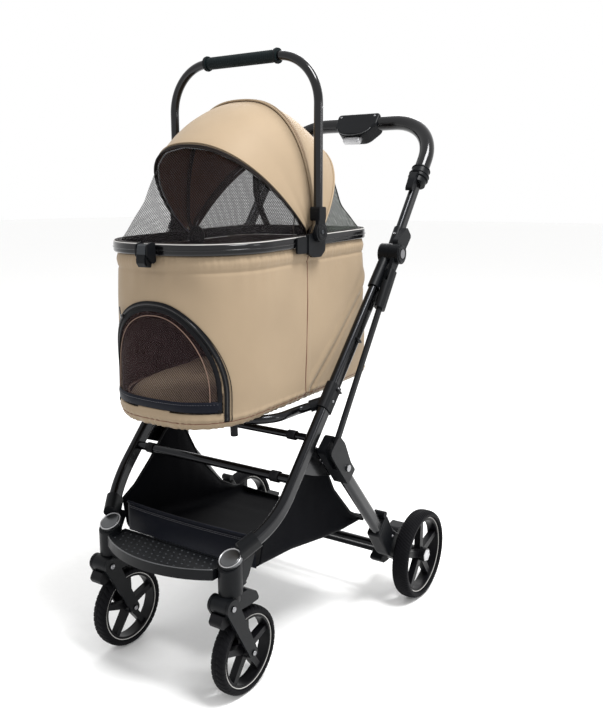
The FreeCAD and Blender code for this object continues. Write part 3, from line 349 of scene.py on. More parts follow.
def section_strip(wide, thick):
    """A flat strip with softened edges: first number across the path, second along its normal."""
    w, t = wide / 2, thick / 2
    return [(-w, 0), (-w + t, -t), (w - t, -t), (w, 0), (w - t, t), (-w + t, t)]


def sweep(path, section, normals=None, closed=False):
    """Vertices and faces of a section carried along a path. normals fix the section's second direction."""
    path = [Vector(p) for p in path]
    count = len(path)
    size = len(section)
    verts = []
    normal = None
    for k, p in enumerate(path):
        before = path[k - 1] if (k > 0 or closed) else p
        after = path[(k + 1) % count] if (k < count - 1 or closed) else p
        along = (after - before).normalized()
        if normals is not None:
            normal = Vector(normals[k])
        elif normal is None:
            normal = Vector((0, 0, 1)) if abs(along.z) < 0.9 else Vector((1, 0, 0))
        normal = (normal - along * normal.dot(along)).normalized()
        across = along.cross(normal)
        verts += [p + across * a + normal * b for a, b in section]
    faces = grid_faces(count, size, True, closed)
    if not closed:
        faces += end_caps(count, size)
    return verts, faces


def tube(name, path, radius, look, body, closed=False, slot=None, flat=1.0, normals=None, count=10):
    verts, faces = sweep(path, section_ring(radius, count, flat), normals, closed)
    return piece(name, verts, faces, look, body, slot=slot)


def strip(name, path, normals, wide, thick, look, body, closed=False, slot=None):
    verts, faces = sweep(path, section_strip(wide, thick), normals, closed)
    return piece(name, verts, faces, look, body, slot=slot)


def turned_solid(profile, axis, centre, segments=36):
    """A solid of revolution: profile is (distance along the axis, radius) pairs in metres."""
    axis = Vector(axis).normalized()
    side = axis.orthogonal().normalized()
    other = axis.cross(side)
    verts = []
    for along, radius in profile:
        for k in range(segments):
            angle = 2 * math.pi * k / segments
            verts.append(Vector(centre) + axis * along
                         + (side * math.cos(angle) + other * math.sin(angle)) * radius)
    return verts, grid_faces(len(profile), segments, True) + end_caps(len(profile), segments)


def joined(parts):
    """Several (verts, faces) lists as one."""
    verts, faces = [], []
    for v, f in parts:
        start = len(verts)
        verts += list(v)
        faces += [tuple(i + start for i in face) for face in f]
    return verts, faces


def screw(centre, axis, radius):
    """A domed screw head with a socket."""
    r = radius / 1000
    profile = [(-0.0005, r * 0.98), (0.0004, r), (0.0011, r * 0.86), (0.0015, r * 0.55), (0.0007, r * 0.45),
               (0.0006, r * 0.1)]
    return turned_solid(profile, axis, centre, 20)


def merged(name, parts, look, body, **options):
    """One piece made of several (verts, faces) parts."""
    return piece(name, *joined(parts), look, body, **options)


def screws(name, body, heads, look="steel"):
    """heads: (x, y, z, axis, radius) in millimetres."""
    return merged(name, [screw(at(x, y, z), axis, radius) for x, y, z, axis, radius in heads], look, body)


def circle(centre, radius, across, up, count=48):
    """Points round a centre, in the plane of two unit directions."""
    turns = [2 * math.pi * k / count for k in range(count)]
    return [centre + (across * math.cos(a) + up * math.sin(a)) * radius for a in turns]


def bead(centre, radius, across, up, thick, sides=8, count=48):
    """A thin ring of round section."""
    path = circle(centre, radius, across, up, count)
    return sweep(path, section_ring(thick, sides), [across.cross(up)] * count, closed=True)


def stitch(middle, half_length, radius):
    """One thread stitch along X."""
    way = Vector((half_length, 0, 0))
    return sweep([middle - way, middle + way], section_ring(radius, 6))


# ---------------------------------------------------------------- carrier

SAMPLES = 480


def rounded_outline(points, radii, count):
    """A closed outline with rounded corners, as equally spaced points from its first one."""
    points = [np.array(p, float) for p in points]
    dense = []
    for k, corner in enumerate(points):
        a = points[k - 1] - corner
        b = points[(k + 1) % len(points)] - corner
        a /= np.linalg.norm(a)
        b /= np.linalg.norm(b)
        half = math.acos(np.clip(a @ b, -1, 1)) / 2
        if half > math.pi / 2 - 0.002:
            dense.append(corner)
            continue
        middle = (a + b) / np.linalg.norm(a + b)
        centre = corner + middle * radii[k] / math.sin(half)
        reach = radii[k] / math.tan(half)
        first = corner + a * reach - centre
        last = corner + b * reach - centre
        start = math.atan2(first[1], first[0])
        sweep_angle = (math.atan2(last[1], last[0]) - start + math.pi) % (2 * math.pi) - math.pi
        for j in range(33):
            angle = start + sweep_angle * j / 32
            dense.append(centre + radii[k] * np.array([math.cos(angle), math.sin(angle)]))
    dense = np.array(dense)
    lowest = int(np.argmin(np.abs(dense[:, 0]) + (dense[:, 1] > 0) * 1000))
    dense = np.roll(dense, -lowest, axis=0)
    ring = np.vstack([dense, dense[:1]])
    length = np.concatenate([[0], np.cumsum(np.linalg.norm(np.diff(ring, axis=0), axis=1))])
    want = np.linspace(0, length[-1], count, endpoint=False)
    return np.stack([np.interp(want, length, ring[:, i]) for i in (0, 1)], 1)


def carrier_outline(half_front, half_side, half_rear, front, rear, corner_front, corner_rear, grow=0.0):
    right = [(half_front + grow, front + 9 - grow), (half_side + grow, -150), (half_rear + grow, rear + grow)]
    points = [(0, front - grow)] + right + [(-x, y) for x, y in reversed(right)]
    radii = [corner_front + grow, 900, corner_rear + grow]
    return rounded_outline(points, [500] + radii + radii[::-1], SAMPLES)


def floor_outline(grow=0.0):
    return carrier_outline(136, 147, 156, -355, 134, 108, 42, grow)


def rim_outline(grow=0.0):
    return carrier_outline(152, 153, 152, -341, 118, 115, 51, grow)


FLOOR_Z, FLOOR_TILT = 487, 2.8
RIM_LOW_Z, RIM_HIGH, RIM_TILT = 766.3, 18.8, 2.1


def on_plane(outline, z, tilt):
    """Outline points lifted onto a plane that rises to the rear."""
    rise = (outline[:, 1] + 150) * math.sin(math.radians(tilt))
    back = -150 + (outline[:, 1] + 150) * math.cos(math.radians(tilt))
    return np.stack([outline[:, 0], back, z + rise], 1)


FLOOR_LINE = on_plane(floor_outline(), FLOOR_Z, FLOOR_TILT)
RIM_LINE = on_plane(rim_outline(), RIM_LOW_Z, RIM_TILT)


def outward(line):
    """Unit normals, in plan, of a closed outline."""
    along = np.roll(line, -1, 0) - np.roll(line, 1, 0)
    normal = np.stack([along[:, 1], -along[:, 0], np.zeros(len(line))], 1)
    normal /= np.linalg.norm(normal, axis=1)[:, None]
    if (normal[:, :2] * (line[:, :2] - [0, -110])).sum() < 0:
        normal = -normal
    return normal


def front_lines(x):
    """(y, z) at a given x on the front of the floor line and of the rim line."""
    found = []
    for line in (FLOOR_LINE, RIM_LINE):
        front = line[line[:, 1] < -200]
        order = np.argsort(front[:, 0])
        found.append([np.interp(x, front[order, 0], front[order, k]) for k in (1, 2)])
    return found


def front_wall(x, z, lift=0.0):
    """The front wall's point at a given x and z, in millimetres, moved out by lift, with its normal."""
    (y0, z0), (y1, z1) = front_lines(x)
    share = (z - z0) / (z1 - z0)
    y = y0 + share * (y1 - y0)
    step = 2.0
    beside = []
    for dx in (-step, step):
        (low, _), (high, _) = front_lines(x + dx)
        beside.append(low + share * (high - low))
    normal = Vector(((beside[1] - beside[0]) / (2 * step), -1, 0.04)).normalized()
    here = np.array([[x, y, z]])
    relief = float(carrier_relief(here, np.array([max(share, 0.0)]), np.array([0.3]))[0])
    point = Vector((x, y, z)) + normal * (lift + relief)
    return at(*point), normal


def on_front(outline, lift):
    """Points and normals on the front wall along an outline of (x, z) points."""
    found = [front_wall(x, z, lift) for x, z in outline]
    return [point for point, _ in found], [normal for _, normal in found]


DOOR_HALF, DOOR_LOW, DOOR_HIGH = 118, 503, 675
ZIP_LOW = 488
DOOR_SHOULDER = DOOR_HIGH - 1.25 * DOOR_HALF
ARCH_POWER = 2.2


def arch_outline(grow=0.0, low=DOOR_LOW, count=30):
    """(x, z) points of the doorway's arch from its right foot over the top to its left foot."""
    half = DOOR_HALF + grow
    rise = DOOR_HIGH - DOOR_SHOULDER + grow
    side = [(half, low + (DOOR_SHOULDER - low) * k / 10) for k in range(10)]
    curve = []
    for k in range(count + 1):
        angle = math.pi / 2 * k / count
        curve.append((half * abs(math.cos(angle)) ** (2 / ARCH_POWER),
                      DOOR_SHOULDER + rise * abs(math.sin(angle)) ** (2 / ARCH_POWER)))
    right = side + curve
    return right + [(-x, z) for x, z in reversed(right[:-1])]


def arch_half(z, grow=0.0):
    """Half the doorway's width at a height."""
    if z <= DOOR_SHOULDER:
        return DOOR_HALF + grow
    share = min(1.0, (z - DOOR_SHOULDER) / (DOOR_HIGH - DOOR_SHOULDER + grow))
    return (DOOR_HALF + grow) * max(0.0, 1 - share ** ARCH_POWER) ** (1 / ARCH_POWER)


def bell(value, middle, width):
    return np.exp(-((value - middle) / width) ** 2)


def crease_side(y, z):
    """Distance, in millimetres, of a side panel's point from the fold on the rear corner."""
    a = np.array([-104.0, 500.0])
    b = np.array([66.0, 660.0])
    way = (b - a) / np.linalg.norm(b - a)
    return (y - a[0]) * way[1] - (z - a[1]) * way[0]


def carrier_relief(line_xy, v, u):
    """How far the cloth stands out from the plain loft, in millimetres."""
    x, y, z = line_xy[..., 0], line_xy[..., 1], line_xy[..., 2]
    out = 1.6 * np.sin(math.pi * v)
    out += 2.6 * bell(v, 0.955, 0.03) - 1.7 * bell(v, 0.905, 0.007)
    gather = np.clip((v - 0.9) / 0.06, 0, 1)
    out += gather * 0.55 * np.sin(2 * math.pi * u * 150 + 2.2 * np.sin(2 * math.pi * u * 19))
    upper = np.clip((v - 0.72) / 0.2, 0, 1)
    out += 0.5 * upper * np.sin(2 * math.pi * u * 41 + 3 * np.sin(2 * math.pi * u * 7))
    seam = np.abs(x) > 120
    out += seam * (-1.3 * bell(y, SEAM_Y, 1.6) + 0.7 * bell(y, SEAM_Y + 6, 4) + 0.7 * bell(y, SEAM_Y - 6, 4))
    fold = crease_side(y, z)
    rear = np.clip((y + 112) / 10, 0, 1) * (np.abs(x) > 90)
    out += rear * (-4.0 * bell(fold, 5, 5) + 2.6 * bell(fold, -9, 8))
    out += rear * -2.8 * np.clip(fold / 26, 0, 1)
    out += rear * 5.0 * bell(fold, 60, 30) * bell(v, 0.18, 0.22)
    front = y < -250
    out += front * (-4.0 * bell(x, 58, 24) * bell(z, 712, 26) + 2.0 * bell(x, 92, 20) * bell(z, 722, 30))
    out += front * (1.8 * bell(x - 0.55 * (z - 690), 10, 10) * bell(z, 712, 28))
    out += front * -2.2 * bell(x, -66, 20) * bell(z, 716, 24)
    slow = np.sin(0.021 * y + 0.013 * z + 0.4) * np.sin(0.017 * z - 0.01 * x)
    out += 1.1 * slow * np.clip(v / 0.2, 0, 1)
    hem = np.clip(1 - v / 0.055, 0, 1)
    out += -9.0 * hem ** 2.2
    low = np.clip(1 - v / 0.075, 0, 1)
    out += 1.5 * low * np.sin(2 * math.pi * u * 88 + 2 * np.sin(2 * math.pi * u * 23)) * (np.abs(x) < 150)
    out += 1.2 * bell(v, 0.052, 0.010) - 1.0 * bell(v, 0.034, 0.006)
    return out


def wall_ring(v, lift=0.0):
    """The carrier wall's outline at a share v of its height, with its folds, moved out by lift."""
    u = np.arange(SAMPLES) / SAMPLES
    line = FLOOR_LINE * (1 - v) + RIM_LINE * v
    normal = outward(FLOOR_LINE) * (1 - v) + outward(RIM_LINE) * v
    normal /= np.linalg.norm(normal, axis=1)[:, None]
    relief = carrier_relief(line, np.full(SAMPLES, v), u) + lift
    line = line + normal * relief[:, None]
    sag = np.clip(1 - v / 0.09, 0, 1) ** 1.5
    front_sag = np.clip((-150 - line[:, 1]) / 200, 0, 1)
    line[:, 2] -= sag * (1.0 + 4.5 * front_sag ** 2)
    return line


def carrier_body():
    rows = 110
    verts = []
    for r in range(rows):
        verts += [at(*p) for p in wall_ring(r / (rows - 1))]
    faces = grid_faces(rows, SAMPLES, True)
    wall = np.array(verts)
    inside = []
    for p in wall:
        x, y, z = p[0] * 1000, (p[1] - SHIFT) * 1000, p[2] * 1000
        inside.append(y < -200 and DOOR_LOW < z < DOOR_HIGH and abs(x) < arch_half(z))
    faces = [f for f in faces if not any(inside[i] for i in f)]
    used = sorted({i for f in faces for i in f})
    index = {old: new for new, old in enumerate(used)}
    verts = [verts[i] for i in used]
    faces = [tuple(index[i] for i in f) for f in faces]
    start = len(verts)
    base = FLOOR_LINE.copy()
    centre = np.array([0, -110, FLOOR_Z + 2])
    for share in (0.9, 0.72, 0.48, 0.2):
        ring = centre + (base - centre) * share
        ring[:, 2] = base[:, 2] + (centre[2] - base[:, 2]) * (1 - share) - 1.0
        verts += [at(*p) for p in ring]
    first = [index[k] for k in range(SAMPLES)]
    for k in range(SAMPLES):
        k2 = (k + 1) % SAMPLES
        faces.append((first[k2], first[k], start + k, start + k2))
    for ring in range(3):
        low = start + ring * SAMPLES
        for k in range(SAMPLES):
            k2 = (k + 1) % SAMPLES
            faces.append((low + k2, low + k, low + SAMPLES + k, low + SAMPLES + k2))
    last = start + 3 * SAMPLES
    faces.append(tuple(last + k for k in reversed(range(SAMPLES))))
    obj = piece("carrier_body", verts, faces, ["beige", "lining_dark"], "carrier", ["carrier_shell"],
                "beige_fabric")
    thickened(obj, 0.0022, 1)


def carrier_trim():
    """Seams, the zip round the doorway, and the lines on the rim."""
    for sign, side in SIDES:
        seam = []
        normals = []
        for k in range(60):
            v = 0.02 + 0.92 * k / 59
            line = wall_ring(v, 0.5)
            pick = np.argmin(np.abs(line[:, 1] - SEAM_Y) + 1e4 * (np.sign(line[:, 0]) != sign))
            seam.append(at(line[pick, 0], SEAM_Y, line[pick, 2]))
            normals.append(Vector((sign, 0, 0)))
        tube(f"carrier_seam_{side}", seam, 0.0008, "lining", "carrier", normals=normals, slot="beige_fabric")
    hem = [at(*p) for p in wall_ring(0.033, 0.5)[::2]]
    tube("carrier_hem_seam", hem, 0.0006, "lining", "carrier", closed=True)
    zip_path, zip_normals = on_front(arch_outline(4.0, ZIP_LOW), 1.3)
    strip("zip_tape_outer", zip_path, zip_normals, 0.0095, 0.0022, "tape", "carrier")
    ridge = [p + n * 0.0012 for p, n in zip(zip_path, zip_normals)]
    tube("zip_coil", ridge, 0.0015, "gloss", "carrier", normals=zip_normals, flat=0.7)
    edge, _ = on_front(arch_outline(8.6, ZIP_LOW), 1.5)
    tube("zip_edge", edge, 0.0007, "tape", "carrier")
    zip_slider()
    top = RIM_LOW_Z + RIM_HIGH
    for name, grow, lift, radius, look in (("rim_line", 5.8, 0.1, 0.0009, "white_line"),
                                           ("rim_bead", 7.2, -9.5, 0.0012, "gloss")):
        line = on_plane(rim_outline(grow), top + lift, RIM_TILT)
        tube(name, [at(*p) for p in line[::3]], radius, look, "carrier", closed=True)
    line = [at(*p) for p in on_plane(rim_outline(1.8), top + 0.9, RIM_TILT)[::3]]
    upward = [Vector((0, 0, 1))] * len(line)
    strip("rim_tape", line, upward, 0.0068, 0.0022, "binding", "carrier", closed=True)


def zip_slider():
    """The slider's body and its hanging pull, at the top of the doorway."""
    x, z = arch_outline(4.0, ZIP_LOW)[52]
    place, normal = front_wall(x, z, 4.2)
    along = (front_wall(x + 4, z + 1.2)[0] - front_wall(x - 4, z - 1.2)[0]).normalized()
    across = along.cross(normal)
    parts = []
    for size, lift, offset in (((0.011, 0.007, 0.0035), 0.0, 0.0), ((0.004, 0.014, 0.0014), 0.0025, 0.010)):
        corner = place + normal * lift - across * offset
        half = size[2] / 2
        profile = [(-half, 0.6), (-half * 0.6, 1.0), (half * 0.6, 1.0), (half, 0.6)]
        verts = []
        for depth, share in profile:
            for k in range(24):
                angle = 2 * math.pi * k / 24
                c, s = math.cos(angle), math.sin(angle)
                a = math.copysign(abs(c) ** 0.5, c) * size[0] / 2 * share
                b = math.copysign(abs(s) ** 0.5, s) * size[1] / 2 * share
                verts.append(corner + along * a + across * b + normal * depth)
        parts.append((verts, grid_faces(4, 24, True) + end_caps(4, 24)))
    merged("zip_slider", parts, "gloss", "carrier")


def door():
    """The zipped mesh door, hinged at its lower edge."""
    rows, columns = 40, 48
    verts = []
    for r in range(rows):
        z = DOOR_LOW + (DOOR_HIGH - 1.5 - DOOR_LOW) * (r / (rows - 1)) ** 0.92
        half = arch_half(z, -0.6)
        for c in range(columns):
            share = -1 + 2 * c / (columns - 1)
            x = half * share
            slack = 2.2 * (1 - share * share) * math.sin(math.pi * r / (rows - 1))
            verts.append(front_wall(x, z, -0.6 - slack)[0])
    faces = grid_faces(rows, columns)
    panel = piece("door_net", verts, faces, "net_door", "window_door", ["window_door"], "mesh_fabric")
    thickened(panel, 0.0006)
    path, normals = on_front(arch_outline(-3.6), 0.9)
    tape = strip("door_tape", path, normals, 0.0082, 0.0024, "tape", "window_door")
    pipe, _ = on_front(arch_outline(-15, 512), 0.1)
    piping = tube("door_piping", pipe, 0.0008, "piping", "window_door")
    band_verts = []
    for z, lift in ((503.6, 0.6), (505, 1.8), (514, 2.6), (522, 2.2), (523.4, 0.4)):
        for c in range(40):
            x = (DOOR_HALF - 1.5) * (-1 + 2 * c / 39)
            sag = 3.0 * (1 - (x / DOOR_HALF) ** 2) if z > 520 else 0
            band_verts.append(front_wall(x, z - sag, lift)[0])
    band = piece("door_band", band_verts, grid_faces(5, 40), "navy", "window_door")
    thickened(band, 0.0016)
    stitches = []
    for c in range(57):
        x = -112 + 4 * c
        point, _ = front_wall(x, 519 - 3.0 * (1 - (x / DOOR_HALF) ** 2), 3.2)
        stitches.append(stitch(point, 0.0012, 0.0003))
    line = merged("door_stitches", stitches, "thread", "window_door")


def cushion():
    """The pad on the carrier's floor: crowned, with a piped edge and quilting channels."""
    inset = -15.0
    outline = floor_outline(inset)
    base = on_plane(outline, FLOOR_Z + 9, FLOOR_TILT)
    centre = np.array([0, -112, FLOOR_Z + 9])
    count = 120
    base = base[:: SAMPLES // count]
    profile = [(0.97, 0), (1.0, 6), (1.012, 15), (1.0, 24), (0.965, 31), (0.9, 35), (0.8, 37.5), (0.65, 38.5),
               (0.48, 38), (0.3, 37), (0.12, 36.5)]
    verts = []
    for share, height in profile:
        ring = centre + (base - centre) * share
        ring[:, 2] = base[:, 2] + height
        verts += [at(*p) for p in ring]
    faces = grid_faces(len(profile), count, True) + end_caps(len(profile), count)
    obj = piece("cushion_pad", verts, faces, "cushion", None, ["cushion"], "cushion_fabric")
    puff(obj, 0.006, 0.006)
    relief = obj.data
    for vertex in relief.vertices:
        x, y, z = vertex.co.x * 1000, (vertex.co.y - SHIFT) * 1000, vertex.co.z * 1000
        up = z - (FLOOR_Z + 9 + (y + 150) * math.sin(math.radians(FLOOR_TILT)))
        if up > 18:
            wave = noise.noise(Vector((x / 45, y / 45, 0.3))) * 5.0
            wave += noise.noise(Vector((x / 16, y / 16, 4.1))) * 1.4
            ridge = 6.0 * math.exp(-(((y + 200) - 0.35 * x) / 26) ** 2) * math.exp(-((x - 30) / 90) ** 2)
            quilt = -2.2 * (math.exp(-((x + y * 0.15) / 3.5) ** 2) + math.exp(-((y + 110) / 3.5) ** 2))
            vertex.co.z += (wave + ridge + quilt - 2.0) / 1000
    relief.update()
    sub = obj.modifiers.new("smooth", "SUBSURF")
    sub.levels = sub.render_levels = 1
    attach(obj, "carrier")
    edge = on_plane(floor_outline(inset + 1.5), FLOOR_Z + 9 + 27, FLOOR_TILT)
    welt = tube("cushion_piping", [at(*p) for p in edge[::4]], 0.0019, "piping", "carrier", closed=True)


def puff(obj, voxel, cap):
    """Lets a closed pad swell like a filled cushion, with cloth simulation, and keeps the result."""
    rest_mod = obj.modifiers.new("remesh", "REMESH")
    rest_mod.mode = "VOXEL"
    rest_mod.voxel_size = voxel
    graph = bpy.context.evaluated_depsgraph_get()
    mesh = bpy.data.meshes.new_from_object(obj.evaluated_get(graph))
    obj.modifiers.clear()
    obj.data = mesh
    rest = np.array([v.co for v in mesh.vertices])
    cloth = obj.modifiers.new("cloth", "CLOTH")
    cloth.settings.use_pressure = True
    cloth.settings.uniform_pressure_force = 4
    cloth.settings.quality = 4
    cloth.settings.effector_weights.gravity = 0
    scene = bpy.context.scene
    for step in range(1, 16):
        scene.frame_set(step)
    graph = bpy.context.evaluated_depsgraph_get()
    moved_mesh = obj.evaluated_get(graph).to_mesh()
    moved = np.array([v.co for v in moved_mesh.vertices])
    obj.evaluated_get(graph).to_mesh_clear()
    obj.modifiers.clear()
    scene.frame_set(1)
    shift = moved - rest
    length = np.linalg.norm(shift, axis=1)[:, None]
    shift *= np.minimum(1, cap / np.maximum(length, 1e-9))
    for vertex, place in zip(obj.data.vertices, rest + shift):
        vertex.co = place
    obj.data.polygons.foreach_set("use_smooth", [True] * len(obj.data.polygons))
    obj.data.update()


# ---------------------------------------------------------------- canopy

PIVOT_Y, PIVOT_Z = -86, 775
# half width, reach, power of the curve, lean forward from upright in degrees
RIB_FRONT = (144.5, 233, 2.3, 46.2)
RIB_MID = (148.0, 247, 2.5, 3.6)
RIB_REAR = (151.5, 242, 2.25, -41.2)
# a rib's foot stands drawn in by FOOT_INSET, up to FOOT_STRAIGHT, and is back on its curve at FOOT_REACH
FOOT_INSET, FOOT_STRAIGHT, FOOT_REACH = 12, 8, 35


def arch_point(rib, angle, offset=0.0):
    """A point on a rib's arch, moved out from its pivot by offset millimetres."""
    half_width, reach, power, degrees = rib
    half_width += offset
    reach += offset
    c, s = math.cos(angle), math.sin(angle)
    out = reach * abs(s) ** (2 / power)
    drawn_in = FOOT_INSET * min(1.0, max(0.0, (FOOT_REACH - out) / (FOOT_REACH - FOOT_STRAIGHT)))
    x = (half_width - drawn_in) * math.copysign(abs(c) ** (2 / power), c)
    lean = math.radians(degrees)
    return Vector((x, PIVOT_Y - out * math.sin(lean), PIVOT_Z + out * math.cos(lean)))


def between(a, b, share, sag=0.0):
    mixed = [p + (q - p) * share for p, q in zip(a, b)]
    pull = 1 - sag * math.sin(math.pi * share)
    return (mixed[0] * (1 - sag * 0.35 * math.sin(math.pi * share)), mixed[1] * pull, mixed[2], mixed[3])


def even_angles(rib, count, start=0.06):
    """Angles that space points evenly along a rib."""
    angles = np.linspace(start, math.pi - start, 600)
    points = np.array([arch_point(rib, a) for a in angles])
    length = np.concatenate([[0], np.cumsum(np.linalg.norm(np.diff(points, axis=0), axis=1))])
    return np.interp(np.linspace(0, length[-1], count), length, angles)


def hood_panel(name, a, b, stands_for, seed):
    """A stretched cloth panel between two ribs."""
    rows, columns = 34, 110
    angles = even_angles(between(a, b, 0.5), columns)
    verts = []
    for r in range(rows):
        share = r / (rows - 1)
        rib = between(a, b, share, 0.022)
        for angle in angles:
            point = arch_point(rib, angle, 3.0)
            high = max(0.0, math.sin(angle))
            slack = 1.2 * noise.noise(Vector((point.x / 70, share * 3, seed))) * math.sin(math.pi * share)
            pull = -1.1 * math.sin(math.pi * share) ** 0.5 * abs(math.cos(angle))
            pull *= math.sin(share * 19 + point.z / 60)
            centre = Vector((point.x * 0.4, PIVOT_Y, PIVOT_Z))
            point += (point - centre).normalized() * (slack + pull * (1 - high) * 0.8)
            verts.append(at(*point))
    obj = piece(name, verts, grid_faces(rows, columns), ["beige", "lining"], None, [stands_for],
                "beige_fabric")
    flip_outward(obj)
    thickened(obj, 0.0014, 1)
    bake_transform(obj)


def flip_outward(obj):
    """Turns a cap-shaped sheet's faces away from the canopy's pivot."""
    mesh = obj.data
    centre = at(0, PIVOT_Y, PIVOT_Z)
    total = sum(p.normal.dot(p.center - centre) for p in mesh.polygons)
    if total < 0:
        mesh.flip_normals()


def rib_path(rib, offset, count=90, start=0.03):
    return [at(*arch_point(rib, a, offset)) for a in even_angles(rib, count, start)]


def rib_normals(path):
    centre = at(0, PIVOT_Y, PIVOT_Z)
    return [(Vector((p.x * 0.6, p.y, p.z)) - Vector((0, centre.y, centre.z))).normalized() for p in path]


def lean_shift(rib, degrees):
    return (rib[0], rib[1], rib[2], rib[3] + degrees)


def canopy():
    hood_panel("hood_cloth_rear", RIB_REAR, RIB_MID, "hood_rear",
               2.2)
    hood_panel("hood_cloth_front", RIB_MID, RIB_FRONT, "hood_front",
               7.7)
    path = rib_path(RIB_FRONT, 3.4)
    strip("front_binding", path, rib_normals(path), 0.006, 0.0042, "binding", "rib_front")
    for name, shift, radius, look in (("front_edge", 1.5, 0.0014, "beige"),
                                      ("front_inner", -1.1, 0.0013, "binding")):
        tube(name, rib_path(lean_shift(RIB_FRONT, -shift), 4.6), radius, look, "rib_front")
    for name, shift, offset, radius, look in (("mid_piping_front", 0.9, 5.0, 0.0019, "beige"),
                                              ("mid_piping_rear", -0.9, 5.0, 0.0019, "beige"),
                                              ("mid_groove", 0.0, 4.2, 0.0017, "lining"),
                                              ("mid_stitch", -2.6, 3.9, 0.0007, "lining")):
        tube(name, rib_path(lean_shift(RIB_MID, shift), offset), radius, look, "rib_mid")
    path = rib_path(RIB_MID, -2.4)
    strip("mid_binding", path, rib_normals(path), 0.010, 0.0016, "lining_dark", "rib_mid")
    path = rib_path(RIB_REAR, -2.2)
    strip("rear_binding", path, rib_normals(path), 0.019, 0.0018, "lining_dark", "carrier")
    tube("rear_piping", rib_path(RIB_REAR, 3.9), 0.0018, "beige", "carrier")
    tube("rear_edge", rib_path(lean_shift(RIB_REAR, -0.9), 3.2), 0.0013, "binding", "carrier")
    plates = []
    for sign in (1, -1):
        profile = [(0, 0.019), (0.0008, 0.0215), (0.0042, 0.0215), (0.005, 0.019)]
        plates.append(turned_solid(profile, (sign, 0, 0), at(sign * 124, PIVOT_Y, PIVOT_Z + 2), 40))
        plates.append(screw(at(sign * 123.6, PIVOT_Y, PIVOT_Z + 2), (-sign, 0, 0), 5))
    merged("hinge_plates", plates, "plastic", "carrier")


def rim_half_line(front, count, grow, lift):
    """The rim's inner top line from its right side round the front, or the rear, to its left side."""
    line = on_plane(rim_outline(grow), RIM_LOW_Z + RIM_HIGH + lift, RIM_TILT)
    keep = line[line[:, 1] < PIVOT_Y - 2] if front else line[line[:, 1] > PIVOT_Y + 2]
    angle = np.arctan2(keep[:, 1] - PIVOT_Y, keep[:, 0])
    keep = keep[np.argsort(-angle if front else angle)]
    length = np.concatenate([[0], np.cumsum(np.linalg.norm(np.diff(keep, axis=0), axis=1))])
    want = np.linspace(0, length[-1], count)
    return np.stack([np.interp(want, length, keep[:, k]) for k in range(3)], 1)


def net_panel(name, rib, front, sag, look, body, stands_for):
    """Mesh cloth from a rib down to the rim, drawn hollow between them."""
    rows, columns = 30, 110
    angles = even_angles(rib, columns, 0.05)
    low = rim_half_line(front, columns, -4.5, -1.5)
    verts = []
    for r in range(rows):
        share = r / (rows - 1)
        for k, angle in enumerate(angles):
            top = arch_point(rib, angle, 1.2)
            bottom = Vector(low[k])
            point = top.lerp(bottom, share)
            hollow = sag * math.sin(math.pi * share) * math.sin(angle) ** 0.7
            centre = Vector((point.x * 0.75, PIVOT_Y, PIVOT_Z + 15))
            ripple = 1.3 * math.sin(14 * share + 9 * math.cos(angle)) * math.sin(math.pi * share)
            away = (point - centre)
            point = point - away.normalized() * (hollow * away.length + ripple)
            verts.append(at(*point))
    obj = piece(name, verts, grid_faces(rows, columns), look, body, [stands_for], "mesh_fabric")
    flip_outward(obj)
    thickened(obj, 0.0005)
    return obj, verts, columns, rows


def net_line(verts, columns, rows, column, lift=0.0006):
    """A path down a net panel along one of its columns, with outward normals."""
    centre = at(0, PIVOT_Y, PIVOT_Z)
    path = [verts[r * columns + column] for r in range(rows)]
    normals = [(Vector((p.x, p.y, p.z)) - centre).normalized() for p in path]
    return [p + n * lift for p, n in zip(path, normals)], normals


def net_hem(name, verts, columns, rows, body):
    """The tape that holds a net panel's lower edge to the rim."""
    path = [p + Vector((0, 0, 0.0016)) for p in verts[(rows - 1) * columns:]]
    return strip(name, path, [Vector((0, 0, 1))] * len(path), 0.006, 0.003, "binding", body)


def nets():
    front, verts, columns, rows = net_panel("front_net", RIB_FRONT, True, 0.045, "net_dark", "rib_front",
                                            "front_mesh")
    with_front = []
    for name, column in (("front_dart_left", 99), ("front_dart_right", 10)):
        path, normals = net_line(verts, columns, rows, column)
        with_front.append(strip(name, path, normals, 0.0022, 0.0012, "binding", "rib_front"))
    hem = net_hem("front_net_hem", verts, columns, rows, "rib_front")
    for obj in [front] + with_front + [hem]:
        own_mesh(obj)
    rear, verts, columns, rows = net_panel("rear_net", RIB_REAR, False, 0.13, "net_rear", "carrier",
                                           "rear_mesh")
    for name, column, wide in (("rear_zip_tape", 71, 0.013), ("rear_dart", 30, 0.005)):
        path, normals = net_line(verts, columns, rows, column)
        strip(name, path, normals, wide, 0.0016, "binding", "carrier")
    net_hem("rear_net_hem", verts, columns, rows, "carrier")


# ---------------------------------------------------------------- basket

BASKET_TOP = [(-274, 280), (-238, 301), (-196, 339), (-150, 388), (-118, 404), (-98, 394), (-45, 300),
              (20, 232), (70, 204), (92, 199)]
BASKET_FLOOR = [(-274, 224), (-225, 221), (-165, 217), (-58, 200), (20, 191), (92, 188)]
BASKET_HALF, BASKET_CORNER = 161, 16
BAND_HALF, BAND_LOW, BAND_HIGH = 153, 222, 280


